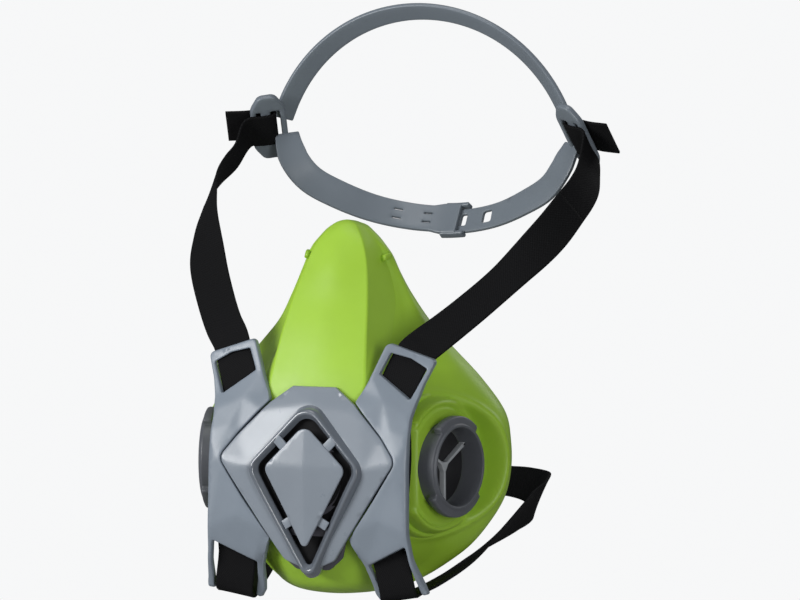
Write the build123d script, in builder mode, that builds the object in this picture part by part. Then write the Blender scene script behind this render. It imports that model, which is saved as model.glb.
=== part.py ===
"""Half-mask respirator with two bayonet filter ports and a four-point head harness, in millimetres.

+X is the wearer's left, -Y is forward (away from the face) and +Z is up. The origin is on the
face-seal plane, on the centre line, at the height of the filter ports' axes.
"""

import os
from math import cos, hypot, radians, sin

from build123d import *

# Webbing
strap_width = 15.0
strap_thickness = 1.4

# Facepiece
wall = 2.6
rim_lip = 2.4  # thickness of the in-turned sealing lip
nose_top = 94.0
chin_bottom = -51.0

# Filter ports, turned a little towards the front
port_x = 50.9
port_y = -31.0
port_yaw = 13.0
port_bore = 15.0
port_tube = 17.0
port_lug = 19.3
port_flange = 22.0
port_length = 15.0
lug_thickness = 3.2
lug_angles = {0: 80.0, 180: 104.0}  # width of each lug by its place, from the top
recess_radius = 25.0
recess_floor = -9.5
nut_radius = 19.2
nut_gap = 0.4  # round the nut, where the facepiece is cut away for it
nut_depth = 8.0

# Exhalation valve, behind the cover
valve_z = -4.0
seat_bore = 12.5
seat_tube = 15.0
seat_flange = 17.6
flap_radius = 13.4
flap_thickness = 0.6
flap_gap = 0.1  # between the flap and the front of its seat
stem_radius = 1.4
stem_clearance = 0.08

# Harness frame
frame_thickness = 3.0
frame_front = -56.2
frame_opening = 18.0

# Exhalation cover
cover_thickness = 1.6
cover_rib = 3.4

# Head cradle: a ring of a crown band and a nape band, with a slotted plate on each side
crown_middle = 102.8
crown_radius = 62.0
crown_width = 8.0
nape_width = 11.0
band_end_width = 5.0
band_thickness = 1.8
plate_thickness = 2.6

os.makedirs("parts", exist_ok=True)


def save(part, name):
    """Label a finished piece and write it as one STEP file."""
    part.label = name
    export_step(part, f"parts/{name}.step")


def both_ways(half):
    """A closed outline's points, from its right half given from top centre to bottom centre."""
    return half + [(-x, z) for x, z in reversed(half[1:-1])]


def moved_in(points, distance):
    """Each point moved towards the middle of its outline."""
    middle = (max(z for _, z in points) + min(z for _, z in points)) / 2
    moved = []
    for x, z in points:
        reach = hypot(x, z - middle)
        moved.append((x * (1 - distance / reach), middle + (z - middle) * (1 - distance / reach)))
    return moved


# ---- Facepiece: outlines of the moulding at six depths, as right halves from top to bottom ----

face_front = -51.7
front_half = [(0, 9), (9, 8), (16, 4), (20, -2), (20, -11), (17, -22), (11, -31), (0, -35)]
face_sections = {
    -46.0: [(0, 33), (14, 30), (20, 20), (32, 11), (40, -4), (36, -24), (22, -37), (0, -42)],
    -36.0: [(0, 60), (13, 57), (20, 43), (36, 29), (49, 0), (45, -24), (28, -42), (0, -49)],
    -24.0: [(0, 81), (10.5, 79), (20, 60), (38, 40), (55, 0), (50, -22), (30, -43), (0, -51)],
    -11.0: [(0, nose_top), (12, 90), (25, 70), (43, 44), (60, 2), (55, -18), (33, -41), (0, chin_bottom)],
    4.0: [(0, 98), (14, 93), (29, 71), (47, 45), (61.5, 2), (57, -18), (35, -39), (0, -50)],
}


def face_loft(inset, front):
    """The facepiece's form, moved in by inset, with its front at a given depth."""
    with BuildPart() as form:
        for depth, half in [(front, front_half)] + list(face_sections.items()):
            with BuildSketch(Plane.XZ.offset(-depth)):
                with BuildLine():
                    Spline(*moved_in(both_ways(half), inset), periodic=True)
                make_face()
        loft()
    return form.part


def behind_rim(shift):
    """Everything behind the saddle-shaped edge of the facepiece, moved by shift along Y."""
    with BuildPart() as block:
        with BuildSketch(Plane.YZ.offset(-100)):
            with BuildLine():
                edge = Spline(
                    (-22 + shift, 110), (-13 + shift, 93), (0 + shift, 48), (1 + shift, 0),
                    (-3 + shift, -30), (-14 + shift, -51), (-22 + shift, -62),
                )
                Polyline(edge @ 1, (60, -62), (60, 110), edge @ 0)
            make_face()
        extrude(amount=200)
    return block.part


def port_plane(side):
    """The plane of a port's outer face, with Z along the port's axis and out of the mask."""
    return Plane(
        origin=(side * port_x, port_y, 0),
        x_dir=(0, 0, 1),
        z_dir=(side * cos(radians(port_yaw)), -sin(radians(port_yaw)), 0),
    )


def disc(plane, radius, low, high):
    """A cylinder about a plane's Z axis, between two heights."""
    with BuildPart() as cylinder:
        with BuildSketch(plane.offset(low)):
            Circle(radius)
        extrude(amount=high - low)
    return cylinder.part


def bent_band(profile, thickness):
    """A band across the whole width that follows a side profile, given from top to bottom."""
    with BuildPart() as block:
        with BuildSketch(Plane.YZ.offset(-60)):
            with BuildLine():
                front = Polyline(*profile)
                offset(front, amount=thickness, side=Side.LEFT)
            make_face()
        extrude(amount=120)
    return block.part


valve_plane = Plane(origin=(0, 0, valve_z), x_dir=(1, 0, 0), z_dir=(0, -1, 0))
frame_profile = [
    (-42.4, 48), (-44.2, 39), (-50.2, 23.5), (frame_front, 3.5),
    (frame_front, -27), (-51.8, -37), (-44.5, -51),
]

# Room for the middle of the harness frame in front of the facepiece
relief_gap = 0.15
relief_middle = -3.0
relief_width = 80.0
relief_height = 54.0
with BuildPart() as frame_relief:
    add(bent_band(frame_profile, frame_thickness + relief_gap))
    with BuildSketch(Plane.XZ.offset(40)):
        with Locations((0, relief_middle)):
            Rectangle(relief_width, relief_height)
    extrude(amount=30, mode=Mode.INTERSECT)

outer_form = face_loft(0, face_front)
inner_form = face_loft(wall, face_front + wall)

with BuildPart() as cavity:
    add(inner_form)
    add(behind_rim(-rim_lip), mode=Mode.SUBTRACT)
    for side in (-1, 1):
        add(disc(port_plane(side), recess_radius + wall, recess_floor - wall, 30), mode=Mode.SUBTRACT)

# The opening for the wearer's nose and mouth
mouth_half = [(0, 76), (15, 62), (32, 36), (43, 0), (38, -18), (22, -32), (0, -37)]
with BuildPart() as mouth:
    with BuildSketch(Plane.XZ.offset(20)):
        with BuildLine():
            Spline(*both_ways(mouth_half), periodic=True)
        make_face()
    extrude(amount=-40)

with BuildPart() as facepiece:
    add(outer_form)
    add(behind_rim(0), mode=Mode.SUBTRACT)
    for side in (-1, 1):
        add(disc(port_plane(side), recess_radius, recess_floor, 30), mode=Mode.SUBTRACT)
    add(cavity.part, mode=Mode.SUBTRACT)
    add(mouth.part, mode=Mode.SUBTRACT)
    add(frame_relief.part, mode=Mode.SUBTRACT)
    for side in (-1, 1):
        add(disc(port_plane(side), port_tube, -30, 30), mode=Mode.SUBTRACT)
        nut_back_room = recess_floor - nut_depth
        nut_room = disc(port_plane(side), nut_radius + nut_gap, nut_back_room, recess_floor - wall)
        add(nut_room, mode=Mode.SUBTRACT)
    add(disc(valve_plane, seat_tube, 30, 60), mode=Mode.SUBTRACT)
save(facepiece.part, "facepiece")


# ---- Filter ports: bayonet tube, spider, clamping nut, gasket and inhalation valve, each side ----

spider_low = -7.7
spider_high = -5.7
spider_arm = 2.6
spider_ring = 1.0
hub_radius = 3.4
valve_pin_radius = 1.4
valve_radius = 14.2
valve_low = -8.6
valve_high = -7.9
valve_room = 14.6
tube_gap = 0.05  # round a tube, where it passes through another piece
gasket_thickness = 0.8
nut_thickness = 3.0
nut_grips = 6
grip_depth = 1.6
grip_width = 5.0
flange_thickness = 1.4

floor_back = recess_floor - wall
gasket_back = floor_back - gasket_thickness
nut_back = gasket_back - nut_thickness

for side, name in ((1, "left"), (-1, "right")):
    plane = port_plane(side)

    with BuildPart() as port:
        with BuildSketch(plane.offset(-port_length)):
            Circle(port_tube - tube_gap)
        extrude(amount=port_length)
        with BuildSketch(plane.offset(recess_floor)):
            Circle(port_flange)
        extrude(amount=flange_thickness)
        with BuildSketch(plane.offset(-lug_thickness)):
            for middle_turn, lug_width in lug_angles.items():
                with BuildLine():
                    start = Vector(port_lug, 0).rotate(Axis.Z, middle_turn - lug_width / 2)
                    middle = Vector(port_lug, 0).rotate(Axis.Z, middle_turn)
                    finish = Vector(port_lug, 0).rotate(Axis.Z, middle_turn + lug_width / 2)
                    ThreePointArc(start, middle, finish)
                    Polyline(finish, (0, 0), start)
                make_face()
        extrude(amount=lug_thickness)
        with BuildSketch(plane.offset(spider_high)):
            Circle(port_bore)
        extrude(amount=-spider_high, mode=Mode.SUBTRACT)
        with BuildSketch(plane.offset(-port_length)):
            Circle(valve_room)
        extrude(amount=port_length + spider_high, mode=Mode.SUBTRACT)
    save(port.part, f"port_{name}")

    with BuildPart() as port_spider:
        with BuildSketch(plane.offset(spider_low)):
            Circle(valve_room - tube_gap)
            Circle(valve_room - spider_ring, mode=Mode.SUBTRACT)
            Circle(hub_radius)
            with PolarLocations((valve_room + hub_radius) / 2 - spider_ring, 3, 180):
                Rectangle(valve_room - hub_radius, spider_arm)
        extrude(amount=spider_high - spider_low)
        with BuildSketch(plane.offset(-port_length)):
            Circle(valve_pin_radius)
        extrude(amount=port_length + spider_low)
    save(port_spider.part, f"port_spider_{name}")

    with BuildPart() as gasket:
        with BuildSketch(plane.offset(gasket_back)):
            Circle(nut_radius)
            Circle(port_tube, mode=Mode.SUBTRACT)
        extrude(amount=gasket_thickness)
    save(gasket.part, f"port_gasket_{name}")

    with BuildPart() as nut:
        with BuildSketch(plane.offset(nut_back)):
            Circle(nut_radius)
            Circle(port_tube, mode=Mode.SUBTRACT)
            with PolarLocations(nut_radius, nut_grips):
                Rectangle(grip_depth, grip_width, mode=Mode.SUBTRACT)
        extrude(amount=nut_thickness)
    save(nut.part, f"port_nut_{name}")

    with BuildPart() as valve:
        with BuildSketch(plane.offset(valve_low)):
            Circle(valve_radius)
            Circle(valve_pin_radius + stem_clearance, mode=Mode.SUBTRACT)
        extrude(amount=valve_high - valve_low)
    save(valve.part, f"inhalation_valve_{name}")

# ---- Exhalation valve: seat through the facepiece, retaining ring inside, and flap in front ----

seat_front = 56.2
seat_back = 45.6
spider_front = 52.0
flange_back = 51.8
seat_flange_thickness = 1.2
seat_hub = 3.2
seat_arm = 1.8
seat_arm_thickness = 1.6
seat_arms = 4
retainer_back = 46.0
retainer_thickness = 2.4
stem_reach = 3.6  # how far the flap's stem starts behind the spider's front

with BuildPart() as exhalation_seat:
    with BuildSketch(valve_plane.offset(seat_back)):
        Circle(seat_tube)
        Circle(seat_bore, mode=Mode.SUBTRACT)
    extrude(amount=seat_front - seat_back)
    with BuildSketch(valve_plane.offset(spider_front - seat_arm_thickness)):
        Circle(seat_hub)
        with PolarLocations((seat_bore + seat_hub) / 2, seat_arms, 45):
            Rectangle(seat_bore - seat_hub / 2, seat_arm)
        Circle(stem_radius + stem_clearance, mode=Mode.SUBTRACT)
    extrude(amount=seat_arm_thickness)
    with BuildSketch(valve_plane.offset(flange_back)):
        Circle(seat_flange)
        Circle(seat_bore, mode=Mode.SUBTRACT)
    extrude(amount=seat_flange_thickness)
save(exhalation_seat.part, "exhalation_seat")

with BuildPart() as exhalation_retainer:
    with BuildSketch(valve_plane.offset(retainer_back)):
        Circle(seat_flange)
        Circle(seat_tube, mode=Mode.SUBTRACT)
    extrude(amount=retainer_thickness)
save(exhalation_retainer.part, "exhalation_retainer")

with BuildPart() as exhalation_valve:
    with BuildSketch(valve_plane.offset(seat_front + flap_gap)):
        Circle(flap_radius)
    extrude(amount=flap_thickness)
    with BuildSketch(valve_plane.offset(spider_front - stem_reach)):
        Circle(stem_radius)
    extrude(amount=seat_front + flap_gap - spider_front + stem_reach + flap_thickness / 2)
save(exhalation_valve.part, "exhalation_valve")

# ---- Harness frame: a bent plate with four arms, each ending in a slot for the webbing ----

frame_outline = [
    (14, 21), (19, 28), (22, 35), (27.2, 45.2), (30, 47), (45.6, 41), (42.8, 32), (41, 26),
    (40.1, 20), (40.4, 12), (40.7, -24), (41.9, -36), (45, -46.5), (42.6, -47.2), (39.6, -29.6),
    (22.2, -37.2), (25.4, -49.4), (24.4, -50.4), (22.8, -48), (20.4, -37.5), (16.9, -28), (14, -25),
]
lower_bar_radius = 1.25
lower_bar_corner = 0.9
lower_bar_overlap = 0.6  # how far each end of a lower bar runs into the frame's arm
upper_slot = [(28.6, 43.6), (36.7, 41.6), (43.2, 37.9), (38.5, 26.4), (25, 35.6)]

with BuildPart() as harness_frame:
    add(bent_band(frame_profile, frame_thickness))
    with BuildSketch(Plane.XZ.offset(30)):
        with BuildLine():
            Polyline(*frame_outline, *[(-x, z) for x, z in reversed(frame_outline)], close=True)
        make_face()
        for flip in (-1, 1):
            with BuildLine():
                Polyline(*[(flip * x, z) for x, z in upper_slot], close=True)
            make_face(mode=Mode.SUBTRACT)
        with Locations((0, valve_z)):
            Circle(frame_opening, mode=Mode.SUBTRACT)
    extrude(amount=40, mode=Mode.INTERSECT)
    for flip in (-1, 1):
        outer_end = Vector(flip * 42.2, -46.1, -45.2)
        inner_end = Vector(flip * 24.8, -44.9, -48.6)
        run = outer_end - inner_end
        start = inner_end - run.normalized() * lower_bar_overlap
        with BuildSketch(Plane(origin=start, x_dir=(0, 1, 0), z_dir=run)):
            RectangleRounded(2 * lower_bar_radius, 2 * lower_bar_radius, lower_bar_corner)
        extrude(amount=run.length + 2 * lower_bar_overlap)
save(harness_frame.part, "harness_frame")

# ---- Exhalation cover: kite-shaped plate, raised ring, and a ridged inner plate on four ribs ----

cover_outline = [
    (0, 30.3), (8.8, 30.3), (17.2, 24), (34.2, 6.2), (35, 3.2), (33.6, -0.2), (18.3, -23.3), (10, -35),
    (5.5, -37.6), (0, -38.2),
]
cover_profile = [(-49.9, 30.5), (-58, 3.5), (-58, -27.5), (-55.2, -38.4)]
ring_outer = [(0, 23.3), (21.6, 2), (22.4, 0), (21.4, -3), (2.4, -43), (0, -44)]
ring_inner = [(0, 20), (18.6, 1.2), (19.2, -0.4), (18.4, -2.6), (1.4, -35), (0, -35.8)]
inner_kite = [(0, 16.2), (15, 1.8), (15.8, 0.4), (15, -1.4), (1.2, -27.8), (0, -28.7)]
ring_profile = [(-50, 31), (-57.4, 23.5), (-61, 6), (-61, -8), (-56.2, -45), (-54.7, -45)]
inner_front = 61.4
inner_back = 59.6
inner_edge = 60.4
rib_back = 59.4
rib_front = 60.4
leg_low = 53.6
leg_inner = 15.9
leg_outer = 17.7
leg_front = 57.0
leg_half_turn = 9.0
upper_rib_turn = 43.5
lower_rib_turn = -27.8
rib_places = {upper_rib_turn: (13.2, 9.2), lower_rib_turn: (12.4, -17.6)}
rib_length = 12.0
leg_angles = [upper_rib_turn, 180 - upper_rib_turn, lower_rib_turn, 180 - lower_rib_turn]
ridge_drop = 1.3  # from the front of the inner plate's edge to its back
ring_overlap = 0.8  # how far the raised ring runs into the outer plate


def outline_face(plane, half):
    """Sketch of a symmetrical outline, from its right half given from top centre to bottom centre."""
    with BuildSketch(plane) as face:
        with BuildLine():
            Polyline(*both_ways(half), close=True)
        make_face()
    return face.sketch


with BuildPart() as inner_plate:
    with BuildSketch(Plane.XY.offset(-30)):
        with BuildLine():
            Polyline(
                (0, -inner_front), (16, -inner_edge), (16, ridge_drop - inner_edge),
                (0, -inner_back), (-16, ridge_drop - inner_edge), (-16, -inner_edge), close=True,
            )
        make_face()
    extrude(amount=50)
    extrude(outline_face(Plane.XZ.offset(50), inner_kite), amount=20, mode=Mode.INTERSECT)

with BuildPart() as raised_ring:
    with BuildSketch(Plane.YZ.offset(-50)):
        with BuildLine():
            Polyline(*ring_profile, *[(y + ring_overlap, z) for y, z in reversed(cover_profile)], close=True)
        make_face()
    extrude(amount=100)
    extrude(outline_face(Plane.XZ.offset(40), ring_outer), amount=40, mode=Mode.INTERSECT)

with BuildPart() as exhalation_cover:
    add(bent_band(cover_profile, cover_thickness))
    extrude(outline_face(Plane.XZ.offset(40), cover_outline), amount=30, mode=Mode.INTERSECT)
    add(raised_ring.part)
    extrude(outline_face(Plane.XZ.offset(40), ring_inner), amount=40, mode=Mode.SUBTRACT)
    add(inner_plate.part)
    for flip in (-1, 1):
        for turn, (x, z) in rib_places.items():
            rib_way = (flip * cos(radians(turn)), 0, sin(radians(turn)))
            with BuildSketch(Plane(origin=(flip * x, -rib_back, z), x_dir=rib_way, z_dir=(0, -1, 0))):
                Rectangle(rib_length, cover_rib)
            extrude(amount=rib_front - rib_back)
    for angle in leg_angles:
        with BuildSketch(valve_plane.offset(leg_low)):
            with BuildLine():
                start = Vector(leg_outer, 0).rotate(Axis.Z, angle - leg_half_turn)
                middle = Vector(leg_outer, 0).rotate(Axis.Z, angle)
                finish = Vector(leg_outer, 0).rotate(Axis.Z, angle + leg_half_turn)
                ThreePointArc(start, middle, finish)
                inner_share = leg_inner / leg_outer
                Polyline(finish, finish * inner_share, start * inner_share, start)
            make_face()
        extrude(amount=leg_front - leg_low)
save(exhalation_cover.part, "exhalation_cover")

# ---- Webbing and head cradle: flat bands through places given with their width directions ----


def band(route, width, thickness):
    """Solid of a flat band through (place, width direction, width) stations, ruled between them."""
    places = [Vector(*station[0]) for station in route]
    with BuildPart() as strip:
        for number, place in enumerate(places):
            before = places[max(number - 1, 0)]
            after = places[min(number + 1, len(places) - 1)]
            along = (after - before).normalized()
            across = Vector(*route[number][1])
            across = (across - along * across.dot(along)).normalized()
            station_width = route[number][2] if len(route[number]) > 2 else width
            with BuildSketch(Plane(origin=place, x_dir=across, z_dir=along)):
                Rectangle(station_width, thickness)
        loft(ruled=True)
    return strip.part


def mirrored(part):
    """The same piece on the other side of the centre plane."""
    with BuildPart() as copy:
        add(mirror(part, about=Plane.YZ, mode=Mode.PRIVATE))
    return copy.part


def save_pair(part, name):
    """Write a left piece, and its mirror image as the right one."""
    save(part, f"{name}_left")
    save(mirrored(part), f"{name}_right")


bar_way = (0.978, -0.067, 0.191)
frame_route = [
    ((36, -38, 44.6), (0.93, 0, -0.36)),
    ((35.5, -39.6, 40.5), (0.95, 0, -0.3)),
    ((34.6, -42.4, 32.5), (1, 0, -0.1)),
    ((33.6, -45.6, 24), (1, 0, 0)),
    ((33, -51.8, 4), (1, 0, 0)),
    ((32.6, -51.9, -26), (1, 0, 0)),
    ((33.2, -47.2, -37), bar_way),
    ((33.4, -47.9, -45.4), bar_way),
    ((33.5, -47.4, -48.5), bar_way),
    ((33.5, -45.5, -49.5), bar_way),
    ((33.5, -43.9, -49.4), bar_way),
]
save_pair(band(frame_route, strap_width, strap_thickness), "frame_strap")

upper_route = [
    ((39.2, -36.2, 48.4), (0.8, -0.14, -0.58)),
    ((44.4, -31.5, 51.5), (0.83, -0.2, -0.52)),
    ((52.4, -20.5, 59.5), (0.84, -0.25, -0.46)),
    ((62, -4.7, 71), (0.84, -0.25, -0.46)),
    ((70.4, 14, 85), (0.7, 0.25, -0.65)),
    ((74.2, 30, 96), (0.45, 0.45, -0.75)),
    ((74.5, 40.4, 102.4), (0.4, 0.55, -0.7)),
    ((73.2, 50, 108.4), (0.38, 0.62, -0.66)),
    ((70.8, 54, 113), (0.3, 0.62, -0.72)),
]
save_pair(band(upper_route, strap_width, strap_thickness), "upper_strap")

neck_route = [
    ((34.1, -40.6, -48.6), bar_way),
    ((36.8, -30, -46.8), (0.95, -0.2, 0.25)),
    ((41.2, -8, -41.4), (0.9, -0.1, 0.4)),
    ((45, 16, -33), (0.7, 0.2, 0.65)),
    ((48.6, 42, -24.5), (0.35, 0.45, 0.8)),
    ((49, 57, -20), (0.15, 0.6, 0.78)),
    ((44, 69, -17), (0, 0.7, 0.7)),
    ((34, 75.6, -15.8), (0, 0.75, 0.66)),
    ((26.5, 78, -15.7), (0, 0.75, 0.66)),
    ((20, 78, -15.65), (0, 0.75, 0.66)),
]
save_pair(band(neck_route, strap_width, strap_thickness), "neck_strap")

crown_end = 72  # degrees either side of the top
crown_route = []
for turn in range(-crown_end, crown_end + 1, 12):
    swing = radians(turn)
    place = (crown_radius * sin(swing), 64 - 2 * cos(swing), crown_middle + crown_radius * cos(swing))
    width = crown_width if abs(turn) < crown_end else band_end_width
    crown_route.append((place, (0.72 * sin(swing), -0.69, 0.72 * cos(swing)), width))
nape_half = [
    ((58.8, 66.2, 115.6), (0.86, -0.45, 0.1), band_end_width),
    ((57, 64.6, 111), (0.86, -0.45, -0.1), nape_width),
    ((54.4, 64, 105.5), (0.8, -0.5, -0.3), nape_width),
    ((48.4, 65.4, 98.4), (0.6, -0.5, -0.6), nape_width),
    ((38.6, 68, 92.8), (0.4, -0.55, -0.75), nape_width),
    ((25.6, 72.2, 87.4), (0.2, -0.6, -0.8), nape_width),
    ((12, 75.6, 84.4), (0.08, -0.6, -0.8), nape_width),
    ((0, 76.6, 83.6), (0, -0.6, -0.8), nape_width),
]
nape_other = [((-p[0], p[1], p[2]), (-w[0], w[1], w[2]), width) for p, w, width in nape_half[-2::-1]]
nape_route = nape_half + nape_other

plate_long = Vector(0.15, 0.6, -0.79).normalized()
plate_short = Vector(0.9, -0.414, -0.144).normalized()
plate_normal = plate_short.cross(plate_long)
plate_middle = Vector(63.5, 60.5, 119)
plate_length = 32.0
plate_width = 14.0
plate_corner = 4.0
slot_long = 16.6
slot_wide = 3.6
slot_place = -2.6
lock_place = 3.8
lock_wide = 1.8
room_reach = 5.0
room_margin = 2.4
room_end = 12.0
side_face = Plane(origin=plate_middle, x_dir=plate_long, z_dir=-plate_normal)
clasp_place = Vector(8.6, 76.2, 84.2)
clasp_way = Vector(0, -0.8, 0.6)
clasp_length = 8.0
clasp_height = 13.0
clasp_thickness = 4.2

with BuildPart() as side_plate:
    with BuildSketch(side_face.offset(-plate_thickness / 2)):
        RectangleRounded(plate_length, plate_width, plate_corner)
        with Locations((0, slot_place)):
            Rectangle(slot_long, slot_wide, mode=Mode.SUBTRACT)
        with Locations((0, lock_place)):
            Rectangle(slot_long, lock_wide, mode=Mode.SUBTRACT)
    extrude(amount=plate_thickness)

# Room on both faces of a side plate, and through its slots, for the webbing
with BuildPart() as webbing_room:
    with BuildSketch(side_face.offset(-room_reach)):
        with Locations((0, (slot_place - room_margin + room_end) / 2)):
            Rectangle(slot_long, room_end - slot_place + room_margin)
    extrude(amount=2 * room_reach)
    with BuildSketch(side_face.offset(-plate_thickness / 2)):
        with Locations((0, room_end / 2)):
            Rectangle(slot_long + 1, 4 * room_end)
        with Locations((0, slot_place)):
            Rectangle(slot_long, slot_wide, mode=Mode.SUBTRACT)
    extrude(amount=plate_thickness, mode=Mode.SUBTRACT)

with BuildPart() as head_cradle:
    add(band(crown_route, crown_width, band_thickness))
    add(band(nape_route, nape_width, band_thickness))
    add(side_plate.part)
    add(mirrored(side_plate.part))
    add(webbing_room.part, mode=Mode.SUBTRACT)
    add(mirrored(webbing_room.part), mode=Mode.SUBTRACT)
    with BuildSketch(Plane(origin=clasp_place, x_dir=(1, 0, 0), z_dir=clasp_way)):
        RectangleRounded(clasp_length, clasp_height, 1)
    extrude(amount=clasp_thickness / 2, both=True)
save(head_cradle.part, "head_cradle")

# The end of each upper strap: through the side plate's slot, back over it, and a free tail
half_strap = strap_thickness / 2
tail_gap = 0.15
tail_side = (plate_thickness + strap_thickness) / 2 + tail_gap
tail_fold = 8.0
tail_end = 16.0
tail_lift = 1.5
with BuildPart() as strap_tail:
    with BuildSketch(Plane(origin=plate_middle, x_dir=plate_short, z_dir=plate_long)):
        with BuildLine():
            Polyline(
                (tail_fold, tail_side + half_strap),
                (slot_place - half_strap, tail_side + half_strap),
                (slot_place - half_strap, -tail_side - half_strap),
                (tail_fold, -tail_side - half_strap),
                (tail_end, -tail_side - tail_lift - half_strap),
                (tail_end, -tail_side - tail_lift + half_strap),
                (tail_fold, -tail_side + half_strap),
                (slot_place + half_strap, -tail_side + half_strap),
                (slot_place + half_strap, tail_side - half_strap),
                (tail_fold, tail_side - half_strap),
                close=True,
            )
        make_face()
    extrude(amount=strap_width / 2, both=True)
save_pair(strap_tail.part, "strap_tail")

# ---- Neck buckle: an eye on the left strap and a hook that laps over its bar on the right one ----

buckle_plane = Plane(origin=(0, 76.6, -14), x_dir=(1, 0, 0), z_dir=(0, -0.66, 0.75))
buckle_width = 20.0
buckle_thickness = 2.4
buckle_corner = 3.0
buckle_slot = 19.5
buckle_slot_width = 3.4
buckle_end = 23.5
eye_start = 1.5
hook_start = 1.0
eye_low = 4.3
eye_high = 9.3
eye_long = 12.0
tongue_width = 10.0
tongue_gap = 0.4
tongue_thickness = 1.8
tongue_root = -6.5
tongue_tip = 7.5
root_length = 5.0
catch_length = 2.2
catch_height = 1.6

with BuildPart() as neck_eye:
    with BuildSketch(buckle_plane.offset(-buckle_thickness / 2)):
        with Locations(((eye_start + buckle_end) / 2, 0)):
            RectangleRounded(buckle_end - eye_start, buckle_width, buckle_corner)
        with Locations((buckle_slot, 0)):
            Rectangle(buckle_slot_width, slot_long, mode=Mode.SUBTRACT)
        with Locations(((eye_low + eye_high) / 2, 0)):
            Rectangle(eye_high - eye_low, eye_long, mode=Mode.SUBTRACT)
    extrude(amount=buckle_thickness)
save(neck_eye.part, "neck_eye")

with BuildPart() as neck_hook:
    with BuildSketch(buckle_plane.offset(-buckle_thickness / 2)):
        with Locations((-(hook_start + buckle_end) / 2, 0)):
            RectangleRounded(buckle_end - hook_start, buckle_width, buckle_corner)
        with Locations((-buckle_slot, 0)):
            Rectangle(buckle_slot_width, slot_long, mode=Mode.SUBTRACT)
    extrude(amount=buckle_thickness)
    tongue_low = -buckle_thickness / 2 - tongue_gap - tongue_thickness
    with BuildSketch(buckle_plane.offset(tongue_low)):
        with Locations(((tongue_root + tongue_tip) / 2, 0)):
            Rectangle(tongue_tip - tongue_root, tongue_width)
    extrude(amount=tongue_thickness)
    with BuildSketch(buckle_plane.offset(tongue_low)):
        with Locations((tongue_root + root_length / 2, 0)):
            Rectangle(root_length, tongue_width)
    extrude(amount=tongue_thickness + tongue_gap + buckle_thickness / 4)
    with BuildSketch(buckle_plane.offset(tongue_low)):
        with Locations((tongue_tip - catch_length / 2, 0)):
            Rectangle(catch_length, tongue_width)
    extrude(amount=tongue_thickness + tongue_gap + catch_height)
save(neck_hook.part, "neck_hook")
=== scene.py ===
"""Half-mask respirator: the looks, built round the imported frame.

Lengths in this script are in millimetres until a mesh is made; +X is the wearer's left,
-Y is forward and +Z is up.
"""

from math import atan2, cos, pi, radians, sin

import bmesh
import bpy
import numpy as np
from mathutils import Matrix, Vector
from mathutils.geometry import delaunay_2d_cdt


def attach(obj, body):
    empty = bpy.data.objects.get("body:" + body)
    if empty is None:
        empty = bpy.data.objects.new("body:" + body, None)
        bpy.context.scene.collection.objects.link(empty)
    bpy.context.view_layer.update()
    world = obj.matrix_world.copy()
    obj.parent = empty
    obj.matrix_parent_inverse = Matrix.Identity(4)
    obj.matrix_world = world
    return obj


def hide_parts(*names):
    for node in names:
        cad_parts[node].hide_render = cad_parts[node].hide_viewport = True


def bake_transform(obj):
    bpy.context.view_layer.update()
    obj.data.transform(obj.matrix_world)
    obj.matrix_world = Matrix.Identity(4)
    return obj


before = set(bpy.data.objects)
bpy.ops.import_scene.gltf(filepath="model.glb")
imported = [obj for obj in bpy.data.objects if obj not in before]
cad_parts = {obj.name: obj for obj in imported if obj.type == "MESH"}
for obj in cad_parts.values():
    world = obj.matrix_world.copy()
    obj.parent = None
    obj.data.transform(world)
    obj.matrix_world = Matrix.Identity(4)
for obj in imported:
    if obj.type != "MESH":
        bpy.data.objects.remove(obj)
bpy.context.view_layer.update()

MM = 0.001

# ---------------------------------------------------------------- camera, light and floor

VIEW_AZIMUTH = radians(22)
VIEW_HEIGHT = radians(5)
PICTURE_WIDTH = 304.0
LENS = 1000.0
SENSOR = 36.0
FLOOR = -0.30


def make_camera():
    """A long lens at the three-quarter view, looking a little down."""
    across = Vector((cos(VIEW_AZIMUTH), sin(VIEW_AZIMUTH), 0))
    ahead = Vector((
        -sin(VIEW_AZIMUTH) * cos(VIEW_HEIGHT), cos(VIEW_AZIMUTH) * cos(VIEW_HEIGHT), -sin(VIEW_HEIGHT)))
    up = across.cross(ahead)
    middle = Vector((0, -58, 0)) + across * 35.53 + up * 63.6 + ahead * 50
    distance = LENS * PICTURE_WIDTH / SENSOR
    data = bpy.data.cameras.new("camera")
    data.lens = LENS
    data.sensor_width = SENSOR
    data.clip_start = 0.1
    data.clip_end = 60
    camera = bpy.data.objects.new("camera", data)
    bpy.context.collection.objects.link(camera)
    camera.matrix_world = Matrix.Translation((middle - ahead * distance) * MM) @ Matrix(
        (across, up, -ahead)).transposed().to_4x4()
    bpy.context.scene.camera = camera


def soft_light(name, place, aim, size, power):
    """A square soft box at a place, facing another."""
    data = bpy.data.lights.new(name, "AREA")
    data.shape = "RECTANGLE"
    data.size, data.size_y = size
    data.energy = power
    lamp = bpy.data.objects.new(name, data)
    lamp.location = place
    lamp.rotation_mode = "QUATERNION"
    lamp.rotation_quaternion = (Vector(aim) - Vector(place)).to_track_quat("-Z", "Y")
    bpy.context.collection.objects.link(lamp)


def split_rays(tree, lit, seen, output):
    """Send one shader to the camera and another to all other rays."""
    ray, mix = (tree.nodes.new(kind) for kind in ("ShaderNodeLightPath", "ShaderNodeMixShader"))
    tree.links.new(ray.outputs["Is Camera Ray"], mix.inputs["Fac"])
    tree.links.new(lit, mix.inputs[1])
    tree.links.new(seen, mix.inputs[2])
    tree.links.new(mix.outputs["Shader"], tree.nodes[output].inputs["Surface"])


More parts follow.
